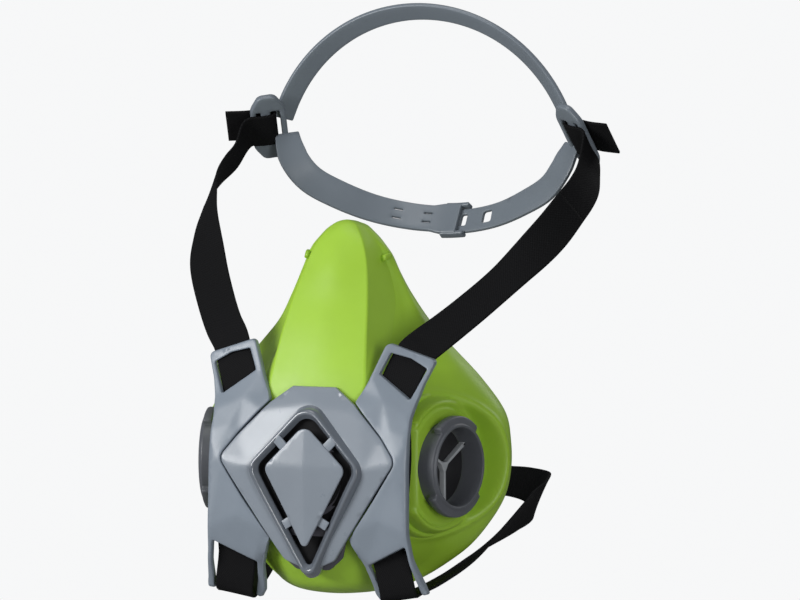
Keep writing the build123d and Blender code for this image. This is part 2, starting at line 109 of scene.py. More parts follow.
def make_studio():
    """A pale floor, a white surround and four soft boxes."""
    world = bpy.data.worlds.new("surround")
    world.use_nodes = True
    nodes = world.node_tree.nodes
    lit, seen = nodes["Background"], nodes.new("ShaderNodeBackground")
    lit.inputs["Color"].default_value = (0.9, 0.95, 1, 1)
    lit.inputs["Strength"].default_value = 0.16
    seen.inputs["Color"].default_value = (1, 1, 1, 1)
    seen.inputs["Strength"].default_value = 1.0
    split_rays(world.node_tree, lit.outputs["Background"], seen.outputs["Background"], "World Output")
    scene = bpy.context.scene
    scene.world = world
    scene.view_settings.view_transform = "Standard"
    aim = (0, 0, 0.03)
    soft_light("key_light", (-0.75, -1.05, 0.40), aim, (0.6, 0.6), 12)
    soft_light("fill_light", (0.95, -1.0, 0.15), aim, (0.35, 0.7), 5.5)
    soft_light("top_light", (-0.1, -0.25, 1.25), aim, (0.6, 0.6), 2.6)
    soft_light("back_light", (0.5, 1.1, 0.7), aim, (0.8, 0.6), 2.5)
    data = bpy.data.meshes.new("floor")
    reach = 30
    corners = [(-reach, -reach, FLOOR), (reach, -reach, FLOOR), (reach, reach, FLOOR), (-reach, reach, FLOOR)]
    data.from_pydata(corners, [], [(0, 1, 2, 3)])
    floor = bpy.data.objects.new("floor", data)
    bpy.context.collection.objects.link(floor)
    data.materials.append(floor_material())


# ---------------------------------------------------------------- materials


def new_material(name, colour, rough, **sockets):
    """A Principled material; sockets are named with underscores for spaces."""
    material = bpy.data.materials.new(name)
    material.use_nodes = True
    shader = material.node_tree.nodes["Principled BSDF"]
    shader.inputs["Base Color"].default_value = (*colour, 1)
    shader.inputs["Roughness"].default_value = rough
    for key, value in sockets.items():
        shader.inputs[key.replace("_", " ")].default_value = value
    return material, shader


def floor_material():
    """Matt white, kept pale to the eye but returning little light to the object."""
    material, shader = new_material("floor_white", (0.32, 0.32, 0.32), 0.9, Specular_IOR_Level=0.1)
    glow = material.node_tree.nodes.new("ShaderNodeEmission")
    glow.inputs["Color"].default_value = (0.93, 0.935, 0.94, 1)
    split_rays(material.node_tree, shader.outputs["BSDF"], glow.outputs["Emission"], "Material Output")
    return material


def noise(material, scale, detail=3.0, rough=0.5):
    """A noise over the object's own coordinates."""
    nodes, links = material.node_tree.nodes, material.node_tree.links
    place = nodes.new("ShaderNodeTexCoord")
    texture = nodes.new("ShaderNodeTexNoise")
    texture.inputs["Scale"].default_value = scale
    texture.inputs["Detail"].default_value = detail
    texture.inputs["Roughness"].default_value = rough
    links.new(place.outputs["Object"], texture.inputs["Vector"])
    return texture.outputs["Fac"]


def ramp(material, source, stops):
    """Colours or greys along a value from 0 to 1."""
    nodes, links = material.node_tree.nodes, material.node_tree.links
    node = nodes.new("ShaderNodeValToRGB")
    while len(node.color_ramp.elements) < len(stops):
        node.color_ramp.elements.new(0.5)
    for element, (place, colour) in zip(node.color_ramp.elements, stops):
        element.position = place
        element.color = (*colour, 1) if isinstance(colour, tuple) else (colour, colour, colour, 1)
    links.new(source, node.inputs["Fac"])
    return node.outputs["Color"]


def bump(material, shader, source, distance, strength=1.0):
    """Small relief from a value, distance in millimetres."""
    nodes, links = material.node_tree.nodes, material.node_tree.links
    node = nodes.new("ShaderNodeBump")
    node.inputs["Distance"].default_value = distance * MM
    node.inputs["Strength"].default_value = strength
    links.new(source, node.inputs["Height"])
    links.new(node.outputs["Normal"], shader.inputs["Normal"])


def moulded(name, colour, rough, tone=0.06, grain=0.012, grain_scale=2600.0, **sockets):
    """Moulded plastic or rubber: a fine spark texture, slow changes of tone and of gloss."""
    material, shader = new_material(name, colour, rough, **sockets)
    links = material.node_tree.links
    slow = noise(material, 38.0, 4.0)
    darker = tuple(c * (1 - tone) for c in colour)
    lighter = tuple(min(1.0, c * (1 + tone)) for c in colour)
    links.new(ramp(material, slow, [(0.3, darker), (0.7, lighter)]), shader.inputs["Base Color"])
    wear = noise(material, 130.0, 6.0, 0.6)
    links.new(ramp(material, wear, [(0.25, rough * 0.86), (0.75, rough * 1.14)]), shader.inputs["Roughness"])
    bump(material, shader, noise(material, grain_scale, 2.0), grain)
    return material


RUBBER = moulded("lime_rubber", (0.385, 0.64, 0.05), 0.42, 0.05, Specular_IOR_Level=0.45, Subsurface_Weight=0.12,
                 Subsurface_Radius=(0.9, 1.0, 0.25), Subsurface_Scale=0.0025)
FRAME_PLASTIC = moulded("frame_grey", (0.235, 0.275, 0.325), 0.38, 0.05, Coat_Weight=0.15, Coat_Roughness=0.25)
COVER_PLASTIC = moulded("cover_grey", (0.255, 0.29, 0.335), 0.30, 0.04, Coat_Weight=0.3, Coat_Roughness=0.2)
RING_PLASTIC = moulded("ring_grey", (0.15, 0.17, 0.20), 0.2, 0.03, 0.004, Coat_Weight=1.0, Coat_Roughness=0.05)
PORT_PLASTIC = moulded("port_grey", (0.115, 0.122, 0.138), 0.42, 0.08)
SPIDER_PLASTIC = moulded("spider_grey", (0.42, 0.44, 0.46), 0.45, 0.05)
CRADLE_PLASTIC = moulded("cradle_grey", (0.19, 0.22, 0.255), 0.34, 0.05, Coat_Weight=0.2, Coat_Roughness=0.2)
BUCKLE_PLASTIC = moulded("buckle_grey", (0.16, 0.18, 0.205), 0.38, 0.05, Coat_Weight=0.15, Coat_Roughness=0.25)
SEAT_PLASTIC = moulded("seat_grey", (0.085, 0.083, 0.10), 0.5, 0.05)
# Near-black and dull: painted shade, for the sheet that darkens the cover's slots where shade falls behind them.
PAINTED_SHADE_BLACK = moulded("painted_shade_black", (0.012, 0.012, 0.013), 0.7, 0.2, Specular_IOR_Level=0.1)
GASKET_RUBBER = moulded("gasket_black", (0.02, 0.02, 0.022), 0.6, 0.2)
VALVE_RUBBER = moulded("valve_black", (0.018, 0.018, 0.02), 0.35, 0.2)


def weave_material():
    """Black webbing: warp ribs along the band, picks across it, and a smooth selvedge."""
    material, shader = new_material("black_webbing", (0.007, 0.007, 0.008), 0.78, Specular_IOR_Level=0.12)
    nodes, links = material.node_tree.nodes, material.node_tree.links
    layer = nodes.new("ShaderNodeUVMap")
    layer.uv_map = "weave"
    split = nodes.new("ShaderNodeSeparateXYZ")
    links.new(layer.outputs["UV"], split.inputs["Vector"])
    waves = []
    for axis, pitch in (("X", 1.1), ("Y", 0.9)):
        scaled, wave = nodes.new("ShaderNodeMath"), nodes.new("ShaderNodeMath")
        scaled.operation, wave.operation = "MULTIPLY", "SINE"
        scaled.inputs[1].default_value = 2 * pi / (pitch * MM)
        links.new(split.outputs[axis], scaled.inputs[0])
        links.new(scaled.outputs["Value"], wave.inputs[0])
        waves.append(wave.outputs["Value"])
    woven = nodes.new("ShaderNodeMath")
    woven.operation = "MULTIPLY"
    links.new(waves[0], woven.inputs[0])
    links.new(waves[1], woven.inputs[1])
    tone = nodes.new("ShaderNodeMapRange")
    tone.inputs["From Min"].default_value = -1
    links.new(woven.outputs["Value"], tone.inputs["Value"])
    links.new(ramp(material, tone.outputs["Result"], [(0.2, (0.004, 0.004, 0.0045)), (0.9, (0.010, 0.010, 0.011))]),
              shader.inputs["Base Color"])
    bump(material, shader, tone.outputs["Result"], 0.12, 0.7)
    return material


WEBBING = weave_material()


# ---------------------------------------------------------------- mesh helpers


def unit(vectors):
    """Vectors of length 1."""
    vectors = np.asarray(vectors, float)
    return vectors / np.linalg.norm(vectors, axis=-1, keepdims=True)


def bridge(low, high):
    """Quads between two closed runs of vertex numbers."""
    return list(zip(low, low[1:] + low[:1], high[1:] + high[:1], high))


def add_piece(name, points, faces, body, slot, material, *nodes):
    """An object from points in millimetres, riding on a body, in place of the named CAD nodes."""
    data = bpy.data.meshes.new(name)
    data.from_pydata([tuple(c * MM for c in p) for p in points], [], faces)
    data.validate()
    shape = bmesh.new()
    shape.from_mesh(data)
    bmesh.ops.recalc_face_normals(shape, faces=shape.faces)
    shape.to_mesh(data)
    shape.free()
    data.materials.append(material)
    for polygon in data.polygons:
        polygon.use_smooth = True
    piece = bpy.data.objects.new(name, data)
    bpy.context.collection.objects.link(piece)
    if body:
        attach(piece, body)
    if nodes:
        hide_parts(*nodes)
    return piece


# What a piece rides on, its material slot and its material
FACE = "mask", "face_rubber", RUBBER
FRAME = "mask", "frame_plastic", FRAME_PLASTIC
# The ledge wears the dark seat grey instead of the frame's grey: painted shade for the recess behind the cover's
# slots.
LEDGE_IN_PAINTED_SHADE = "mask", "frame_plastic", SEAT_PLASTIC
HOUSING = "mask", "housing_plastic", SEAT_PLASTIC
COVER = "cover", "cover_plastic", COVER_PLASTIC
RING = "cover", "cover_plastic", RING_PLASTIC
# A black sheet behind the cover's ring: painted shade in its slots.
PAINTED_SHADE_SHEET = "cover", "cover_plastic", PAINTED_SHADE_BLACK
PORT = "mask", "port_plastic", PORT_PLASTIC
STAR = "mask", "port_plastic", SPIDER_PLASTIC
CRADLE = "cradle", "cradle_plastic", CRADLE_PLASTIC
EYE = "neck_straps", "buckle_plastic", BUCKLE_PLASTIC
HOOK = "hook", "buckle_plastic", BUCKLE_PLASTIC


def catmull(points, counts):
    """Points of a smooth line through given ones, with a count of steps for each span."""
    points = np.array(points, float)
    lengths = np.linalg.norm(np.diff(points, axis=0), axis=-1)
    if lengths.ndim > 1:
        lengths = lengths.mean(axis=-1)
    steps = np.sqrt(np.maximum(lengths, 1e-6))
    knots = np.concatenate([[0], np.cumsum(steps)])
    slopes = np.zeros_like(points)
    delta = [(points[i + 1] - points[i]) / steps[i] for i in range(len(steps))]
    slopes[0], slopes[-1] = delta[0], delta[-1]
    for i in range(1, len(points) - 1):
        before, after = steps[i - 1], steps[i]
        slopes[i] = (delta[i - 1] * after + delta[i] * before) / (before + after)
    made = []
    for i, count in enumerate(counts):
        for t in np.arange(count) / count:
            made.append(hermite(points[i], points[i + 1], slopes[i] * steps[i], slopes[i + 1] * steps[i], t))
    made.append(points[-1])
    return np.array(made)


def hermite(a, b, out, into, t):
    """A cubic from a to b with the given tangents."""
    return ((2 * t**3 - 3 * t**2 + 1) * a + (t**3 - 2 * t**2 + t) * out
            + (3 * t**2 - 2 * t**3) * b + (t**3 - t**2) * into)


def smooth_step(value, low, high):
    """0 below low, 1 above high, and a smooth rise between."""
    t = np.clip((value - low) / (high - low), 0, 1)
    return t * t * (3 - 2 * t)


# ---------------------------------------------------------------- facepiece

# Rows from the top of the nose to under the chin. Each gives six places on the wearer's left, from
# the centre line out to the rim, and how sharp the front panel's edge and the side panel's edge are.
FACE_ROWS = [
    ([(0, -13, 90.7), (2.2, -13, 90.5), (4, -12.6, 89.9), (5.6, -12.3, 89.3), (7.2, -12, 88.4), (8.6, -11.5, 87)],
     0, 0),
    ([(0, -17.5, 91), (3.4, -17.5, 90.4), (6.4, -16, 88.9), (8, -15.2, 88), (9.8, -13.8, 86.6), (11.2, -11.5, 84.6)],
     0.2, 0),
    ([(0, -21.5, 88.4), (6.4, -20.8, 87.5), (9.8, -17, 85.6), (11.2, -15.6, 84.8), (12.8, -13.8, 83.6),
      (13.7, -11.3, 81.6)], 0.4, 0.1),
    ([(0, -25.2, 83.2), (9.6, -24, 82.6), (13.2, -16.6, 81.3), (14.8, -15.2, 80.7), (16.2, -13.4, 79.2),
      (16.4, -11, 77.8)], 0.7, 0.4),
    ([(0, -30, 75), (12.6, -27.8, 74), (16.6, -16.2, 73.5), (18, -14.9, 73.4), (19.6, -12.8, 72.2),
      (19.5, -10.4, 71)], 0.9, 1),
    ([(0, -35.5, 62), (15.3, -34, 62), (20.2, -17.6, 62), (21.6, -15.8, 62), (24.4, -12.2, 62), (24.2, -9, 62)],
     1, 1),
    ([(0, -40.3, 52), (17, -38.8, 52), (21.8, -24, 52), (24.4, -19.2, 52), (30.0, -10.3, 52.3), (30.0, -6.5, 52.5)],
     1, 0.9),
    ([(0, -44, 43), (18.2, -42.5, 43), (23.2, -30, 43), (29.2, -21.8, 43), (37.4, -9.8, 43.6), (37.6, -5.6, 44)],
     1, 0.6),
    ([(0, -47.6, 32), (19.4, -46.3, 32), (27, -39, 31), (38.4, -24.6, 31), (49.4, -6.8, 31), (49, -1.3, 31)], 0.9, 0),
    ([(0, -50.3, 18), (20.5, -49.3, 18), (33, -40, 18), (47, -22, 18), (58.6, -3.5, 18), (57.6, 1.5, 18)], 0.5, 0),
    ([(0, -51.5, 8), (21, -51, 8), (36, -41, 8), (50.5, -20, 8), (60.6, -2.6, 8), (59.4, 2.2, 8)], 0.3, 0),
    ([(0, -51.7, -3), (21, -51.2, -3), (36.5, -41, -3), (51, -19.5, -3), (60.7, -2.5, -3), (59.5, 2.3, -3)], 0.2, 0),
    ([(0, -51.6, -14), (20.5, -50.6, -14), (35, -40, -14), (49.5, -20, -14), (58.4, -2.8, -14), (57, 2, -14)], 0, 0),
    ([(0, -50.8, -24), (19.5, -49, -24), (32, -38.5, -24), (44, -20, -24), (52.6, -4, -24), (51.2, 0.7, -24)], 0, 0),
    ([(0, -48.8, -33), (17.5, -46.8, -33), (28, -36.5, -33), (37, -20, -33), (45, -5.5, -33),
      (43.6, -1.5, -33)], 0, 0),
    ([(0, -45.4, -40.6), (14.5, -43.5, -40.3), (23.5, -34.5, -40), (30, -21.5, -40), (36.8, -8.5, -39.4),
      (35.4, -5.4, -38.6)], 0, 0),
    ([(0, -39.5, -46.8), (11.5, -38.5, -46.4), (19, -31.5, -46), (24.5, -22.5, -45.5), (29.5, -13, -44.2),
      (29, -10, -42.8)], 0, 0),
    ([(0, -30.5, -49.8), (9, -30, -49.4), (15, -26.5, -48.9), (19.5, -21.5, -48), (23.6, -16.5, -46.8),
      (24.6, -14, -45.2)], 0, 0),
    ([(0, -20, -50.6), (6, -19.8, -50.2), (10.5, -19, -49.6), (14, -18, -48.9), (17.5, -17, -48),
      (20.5, -15.8, -46.9)], 0, 0),
]
ROW_STEP = 0.72
RIM_SMOOTHING = 40
RIM_ROLL = 2.6
LIP_LENGTH = 8.0
LIP_THICKNESS = 1.5
COLUMN_STEPS = [18, 22, 20, 32, 8]
WALL = 2.6

PORT_PLACE = np.array([50.9, -31.0, 0.0])
PORT_YAW = radians(13)
PORT_AXIS = np.array([cos(PORT_YAW), -sin(PORT_YAW), 0.0])
PORT_LATERAL = np.array([sin(PORT_YAW), cos(PORT_YAW), 0.0])
RECESS_RADIUS = 25.4
RECESS_RISE = 2.4
RECESS_LIP = 0.9
RECESS_FLOOR = -6.3
RECESS_FADE = -22.0, -16.5  # ahead of this the recess only cuts, and raises nothing behind the frame
GROOVE_RADIUS = 22.6
GROOVE_DEPTH = 0.8
PORT_HOLE = 16.2
VALVE_HOLE = 14.6
VALVE_HEIGHT = -4.0


TAB_PLACE = np.array([16.4, -16.6, 77.6])
TAB_OUT = unit((0.93, -0.3, 0.2))
TAB_RUN = np.array([0.28, 0.95, 0.12])
TAB_UP = np.cross(TAB_OUT, TAB_RUN)


def face_grid():
    """The outer surface's points, rows from the nose to the chin and columns from centre to rim."""
    places = np.array([row[0] for row in FACE_ROWS], float)
    crisp = np.array([row[1:] for row in FACE_ROWS], float)
    spans = np.linalg.norm(np.diff(places, axis=0), axis=-1).max(axis=-1)
    counts = [max(3, round(s / ROW_STEP)) for s in spans]
    places = catmull(places.reshape(len(places), -1), counts).reshape(-1, 6, 3)
    crisp = np.clip(catmull(crisp, counts), 0, 1)
    rows = []
    for row, (panel, side) in zip(places, crisp):
        steps = np.linalg.norm(np.diff(row, axis=0), axis=-1)
        mirror_first = row[1] * (-1, 1, 1)
        slopes_in, slopes_out = [], []
        for k in range(6):
            if k == 0:
                smooth = (row[1] - mirror_first) / (2 * steps[0])
            elif k == 5:
                smooth = (row[5] - row[4]) / steps[4]
            else:
                left, right = (row[k] - row[k - 1]) / steps[k - 1], (row[k + 1] - row[k]) / steps[k]
                smooth = (left * steps[k] + right * steps[k - 1]) / (steps[k] + steps[k - 1])
            sharp = {1: panel, 2: side}.get(k, 0)
            into = smooth if k == 0 else (row[k] - row[k - 1]) / steps[k - 1]
            out = smooth if k == 5 else (row[k + 1] - row[k]) / steps[k]
            slopes_in.append(smooth * (1 - sharp) + into * sharp)
            slopes_out.append(smooth * (1 - sharp) + out * sharp)
        line = []
        for k in range(5):
            for t in np.arange(COLUMN_STEPS[k]) / COLUMN_STEPS[k]:
                line.append(hermite(row[k], row[k + 1], slopes_out[k] * steps[k], slopes_in[k + 1] * steps[k], t))
        line.append(row[5])
        rows.append(line)
    half = np.array(rows)
    other = half[:, :0:-1] * (-1, 1, 1)
    return np.concatenate([other, half], axis=1)


def grid_normals(grid):
    """Outward unit normals of a grid of points."""
    down = np.gradient(grid, axis=0)
    along = np.gradient(grid, axis=1)
    normals = np.cross(down, along)
    return normals / np.maximum(np.linalg.norm(normals, axis=-1, keepdims=True), 1e-9)


def with_recesses(grid, radius, floor, groove):
    """The grid with a flat-bottomed round recess about each port's axis."""
    for side in (-1, 1):
        flip = np.array([side, 1, 1])
        local = grid * flip - PORT_PLACE
        height = local @ PORT_AXIS
        across = local @ PORT_LATERAL
        up = local[..., 2]
        reach = np.hypot(across, up)
        near = (reach < radius + 4 * RECESS_RISE) & (grid[..., 0] * side > 14)
        share = 1 - smooth_step(reach, radius - RECESS_RISE / 2, radius + RECESS_RISE / 2)
        wanted, lip = floor, 0.0
        if groove:
            wanted = floor - GROOVE_DEPTH * np.exp(-((reach - GROOVE_RADIUS) / 0.5) ** 2)
            lip = RECESS_LIP * np.exp(-((reach - radius - RECESS_RISE) / 1.5) ** 2)
        back = smooth_step(across, *RECESS_FADE)
        raised = (wanted > height) * (1 - back)
        change = np.where(near, (wanted - height) * share * (1 - raised) + lip * back, 0)
        grid = grid + (change[..., None] * PORT_AXIS) * flip
    return grid


def make_facepiece():
    """Outer and inner surfaces joined round the rim by a rolled, in-turned sealing lip."""
    base = face_grid()
    normals = grid_normals(base)
    outer = with_recesses(base, RECESS_RADIUS, RECESS_FLOOR, True)
    inner = with_recesses(base - normals * WALL, RECESS_RADIUS + WALL, RECESS_FLOOR - WALL - 3.2, False)
    rows, columns = base.shape[:2]
    points = np.concatenate([outer.reshape(-1, 3), inner.reshape(-1, 3)])
    count = rows * columns

    middle = (outer[:-1, :-1] + outer[1:, 1:]) / 2
    hole = (np.hypot(middle[..., 0], middle[..., 2] - VALVE_HEIGHT) < VALVE_HOLE) & (middle[..., 1] < -40)
    for side in (-1, 1):
        local = middle * (side, 1, 1) - PORT_PLACE
        hole |= (middle[..., 0] * side > 20) & (np.hypot(local @ PORT_LATERAL, local[..., 2]) < PORT_HOLE)

    faces = []
    for i, j in np.argwhere(~hole).tolist():
        a, b, c, d = i * columns + j, i * columns + j + 1, (i + 1) * columns + j + 1, (i + 1) * columns + j
        faces += [(a, d, c, b), (a + count, b + count, c + count, d + count)]
    for i, j in np.argwhere(hole).tolist():
        for di, dj, ends in ((-1, 0, ((i, j), (i, j + 1))), (1, 0, ((i + 1, j + 1), (i + 1, j))),
                             (0, -1, ((i + 1, j), (i, j))), (0, 1, ((i, j + 1), (i + 1, j + 1)))):
            if not hole[i + di, j + dj]:
                a, b = (r * columns + c for r, c in ends)
                faces.append((a, b, b + count, a + count))
    rim = [(0, j) for j in range(columns)] + [(i, columns - 1) for i in range(1, rows)]
    rim += [(rows - 1, j) for j in range(columns - 2, -1, -1)] + [(i, 0) for i in range(rows - 2, 0, -1)]
    loop = [i * columns + j for i, j in rim]
    start = points[loop]
    smooth_normal = normals.reshape(-1, 3)[loop]
    run = unit(np.roll(start, -1, axis=0) - np.roll(start, 1, axis=0))
    inward = unit(np.cross(run, smooth_normal))
    if inward[:, 1].mean() < 0:
        inward = -inward
    for _ in range(RIM_SMOOTHING):
        inward, smooth_normal = (
            (np.roll(v, 1, axis=0) + np.roll(v, -1, axis=0) + v * 2) / 4 for v in (inward, smooth_normal))
    inward, smooth_normal = unit(inward), unit(smooth_normal)
    profile = [(RIM_ROLL * sin(radians(turn)), -RIM_ROLL * (1 - cos(radians(turn))))
               for turn in (25, 50, 75, 100, 120)]
    out, down = profile[-1]

    def on_lip(share, inset=0.0):
        """A place along the lip, from its root at 0 to its tip at 1."""
        return out - 0.2 * LIP_LENGTH * share * share - inset, down - LIP_LENGTH * share

    profile += [on_lip(share) for share in (0.25, 0.5, 0.75, 1.0)]
    tip = profile[-1]
    profile += [(tip[0] - LIP_THICKNESS * inset - more, tip[1] + rise)
                for inset, more, rise in ((0.4, 0, -0.45), (1, 0, -0.2), (1, 0.3, 0.8))]
    profile += [on_lip(share, LIP_THICKNESS + 0.4) for share in (0.75, 0.5, 0.25)]
    rings = [start + inward * out + smooth_normal * down for out, down in profile]
    first = len(points)
    points = np.concatenate([points] + rings)
    n = len(loop)
    levels = [loop] + [[first + r * n + k for k in range(n)] for r in range(len(rings))] + [[v + count for v in loop]]
    for low, high in zip(levels, levels[1:]):
        faces += bridge(low, high)
    used = sorted({v for f in faces for v in f})
    index = {v: k for k, v in enumerate(used)}
    faces = [tuple(index[v] for v in f) for f in faces]
    add_piece("facepiece_shell", points[used].tolist(), faces, *FACE, "facepiece")


def make_tabs():
    """A small raised tab at the upper end of each side panel."""
    points = []
    base = [(-2.6, -1.3), (2.4, -0.9), (3.0, 0.6), (2.4, 1.3), (-1.8, 1.0)]
    for level, shrink in ((-1.2, 1.0), (0.35, 0.95), (0.7, 0.72)):
        points += [(TAB_PLACE + TAB_RUN * u * shrink + TAB_UP * v * shrink + TAB_OUT * level).tolist()
                   for u, v in base]
    foot, waist, top = (list(range(low, low + len(base))) for low in range(0, len(points), len(base)))
    faces = bridge(foot, waist) + bridge(waist, top) + [foot[::-1], top]
    for side, name in ((1, "left"), (-1, "right")):
        add_piece(f"nose_tab_{name}", [(x * side, y, z) for x, y, z in points], faces, *FACE)


# ---------------------------------------------------------------- plates


def corner_arc(corners, k):
    """The centre, start direction and turn of the arc that rounds a corner, or None if it stays sharp."""
    here = np.array(corners[k][:2], float)
    before = np.array(corners[k - 1][:2], float) - here
    after = np.array(corners[(k + 1) % len(corners)][:2], float) - here
    reach = min(np.linalg.norm(before), np.linalg.norm(after)) * 0.49
    before, after = unit(before), unit(after)
    half = np.arccos(np.clip(before @ after, -1, 1)) / 2
    if corners[k][2] <= 0 or half > radians(89.5):
        return None
    cut = min(corners[k][2] / np.tan(half), reach)
    middle = here + unit(before + after) * cut / np.cos(half)
    first, last = here + before * cut - middle, here + after * cut - middle
    turn = (atan2(last[1], last[0]) - atan2(first[1], first[0]) + pi) % (2 * pi) - pi
    return middle, first, turn


def arc_points(arc, number):
    """Places along an arc, with a number of steps."""
    middle, first, turn = arc
    radius, start = np.linalg.norm(first), atan2(first[1], first[0])
    return [middle + radius * np.array([cos(start + turn * t / number), sin(start + turn * t / number)])
            for t in range(number + 1)]


def rounded(corners, steps=7):
    """A closed outline from (x, z, radius) corners, with an arc at each."""
    line = []
    for k, corner in enumerate(corners):
        arc = corner_arc(corners, k)
        if arc is None:
            line.append(np.array(corner[:2], float))
        else:
            line += arc_points(arc, max(2, round(steps * abs(arc[2]) / (pi / 2))))
    return np.array(line)


def turned(line, left):
    """The outline in the wanted direction: anticlockwise if left is true."""
    area = (line[:, 0] * np.roll(line[:, 1], -1) - np.roll(line[:, 0], -1) * line[:, 1]).sum()
    return line if (area > 0) == left else line[::-1]


def dense(line, spacing):
    """A closed outline with long sides cut into steps of about the spacing."""
    made = []
    for a, b in zip(line, np.roll(line, -1, axis=0)):
        number = max(1, round(np.linalg.norm(b - a) / spacing))
        for t in range(number):
            made.append(a + (b - a) * t / number)
    return np.array(made)


def pulled(line, distance):
    """The outline moved into the material by a distance."""
    edge = np.roll(line, -1, axis=0) - line
    edge /= np.linalg.norm(edge, axis=1, keepdims=True)
    normal = np.stack([-edge[:, 1], edge[:, 0]], axis=1)
    previous = np.roll(normal, 1, axis=0)
    both = normal + previous
    scale = 1 + (normal * previous).sum(axis=1, keepdims=True)
    return line + distance * both / np.maximum(scale, 0.35)


def inside(x, z, loops):
    """Even-odd test of a place against closed outlines."""
    hit = False
    for loop in loops:
        a, b = loop, np.roll(loop, -1, axis=0)
        cross = (a[:, 1] > z) != (b[:, 1] > z)
        at = a[:, 0] + (z - a[:, 1]) / np.where(cross, b[:, 1] - a[:, 1], 1) * (b[:, 0] - a[:, 0])
        hit ^= bool((cross & (x < at)).sum() % 2)
    return hit


def plate(outer, holes, place, thickness, edge, spacing=2.5, creases=()):
    """Points and faces of a plate with rounded edges.

    outer and holes are closed outlines, and place turns (x, z, depth) into a point in space.
    """
    loops = [dense(turned(np.asarray(outer), True), spacing)]
    loops += [dense(turned(np.asarray(hole), False), spacing) for hole in holes]
    turns = [radians(a) for a in (0, 30, 60, 90)]
    levels = [(edge * (1 - sin(a)), edge * (1 - cos(a))) for a in turns]
    levels += [(edge * (1 - cos(a)), thickness - edge * (1 - sin(a))) for a in turns]
    points, faces = [], []
    rings = []
    for loop in loops:
        levels_of_loop = []
        for shift, depth in levels:
            moved = pulled(loop, shift)
            levels_of_loop.append(list(range(len(points), len(points) + len(moved))))
            points += [place(x, z, depth) for x, z in moved]
        rings.append(levels_of_loop)
        for low, high in zip(levels_of_loop, levels_of_loop[1:]):
            faces += bridge(low, high)
    for level in (0, -1):
        shift, depth = levels[level]
        flat = [pulled(loop, shift) for loop in loops]
        seeds, edges, known = [], [], []
        for number, line in enumerate(flat):
            start = len(seeds)
            seeds += [Vector(p) for p in line]
            known += rings[number][level]
            edges += [(start + k, start + (k + 1) % len(line)) for k in range(len(line))]
        for line in creases:
            line = np.array(line, float)
            for a, b in zip(line, line[1:]):
                number = max(1, round(np.linalg.norm(b - a) / spacing))
                for t in range(number + 1):
                    p = a + (b - a) * t / number
                    if inside(p[0], p[1], flat):
                        seeds.append(Vector(p))
        low, high = flat[0].min(axis=0), flat[0].max(axis=0)
        near = np.concatenate(flat)
        for row, z in enumerate(np.arange(low[1] + spacing / 2, high[1], spacing * 0.87)):
            for x in np.arange(low[0] + spacing * (0.5 if row % 2 else 1), high[0], spacing):
                if inside(x, z, flat) and np.hypot(near[:, 0] - x, near[:, 1] - z).min() > spacing * 0.45:
                    seeds.append(Vector((x, z)))
        made, _, triangles, origin, _, _ = delaunay_2d_cdt(seeds, edges, [], 0, 1e-5)
        index = []
        for vertex, sources in zip(made, origin):
            ring = [s for s in sources if s < len(known)]
            if ring:
                index.append(known[ring[0]])
            else:
                index.append(len(points))
                points.append(place(vertex[0], vertex[1], depth))
        for triangle in triangles:
            middle = sum((made[v] for v in triangle), Vector((0, 0))) / 3
            if inside(middle[0], middle[1], flat):
                faces.append(tuple(index[v] for v in triangle))
    return points, faces


def add_plate(name, finish, *shape, nodes=()):
    """A plate as a piece; shape is what plate takes."""
    add_piece(name, *plate(*shape), *finish, *nodes)


def relief(stations, creases=(), soft=0.5):
    """Height over (x, z) from (x, z, height) stations, linear between them, with folds at creases."""
    spots = [Vector(s[:2]) for s in stations]
    heights = [s[2] for s in stations]
    made, _, triangles, origin, _, _ = delaunay_2d_cdt(spots, list(creases), [], 0, 1e-6)
    level = [heights[o[0]] for o in origin]
    corners = np.array([[(*made[v], level[v]) for v in t] for t in triangles])
    a, b, c = corners[:, 0], corners[:, 1], corners[:, 2]
    area = (b[:, 0] - a[:, 0]) * (c[:, 1] - a[:, 1]) - (c[:, 0] - a[:, 0]) * (b[:, 1] - a[:, 1])
    keep = np.abs(area) > 0.5
    a, b, c, area = a[keep], b[keep], c[keep], area[keep]

    def exact(x, z):
        """The height at one place."""
        second = ((x - a[:, 0]) * (c[:, 1] - a[:, 1]) - (c[:, 0] - a[:, 0]) * (z - a[:, 1])) / area
        third = ((b[:, 0] - a[:, 0]) * (z - a[:, 1]) - (x - a[:, 0]) * (b[:, 1] - a[:, 1])) / area
        first = 1 - second - third
        best = np.minimum(np.minimum(first, second), third).argmax()
        return first[best] * a[best, 2] + second[best] * b[best, 2] + third[best] * c[best, 2]

    def height(x, z):
        """The height averaged over a small cross, which rounds the folds."""
        x = abs(x)
        around = [(x, z), (x + soft, z), (x - soft, z), (x, z + soft), (x, z - soft)]
        return sum(exact(abs(p), q) for p, q in around) / len(around)

    return height


def in_front(height, behind=0.0):
    """A plate's place function for a relief seen from the front, moved back by a distance."""
    return lambda x, z, depth: (x, height(x, z) + behind + depth, z)


def valve_circle(radius):
    """A round outline about the exhalation valve."""
    return np.array([(radius * cos(a), VALVE_HEIGHT + radius * sin(a)) for a in np.arange(0, 2 * pi, pi / 24)])


# ---------------------------------------------------------------- harness frame

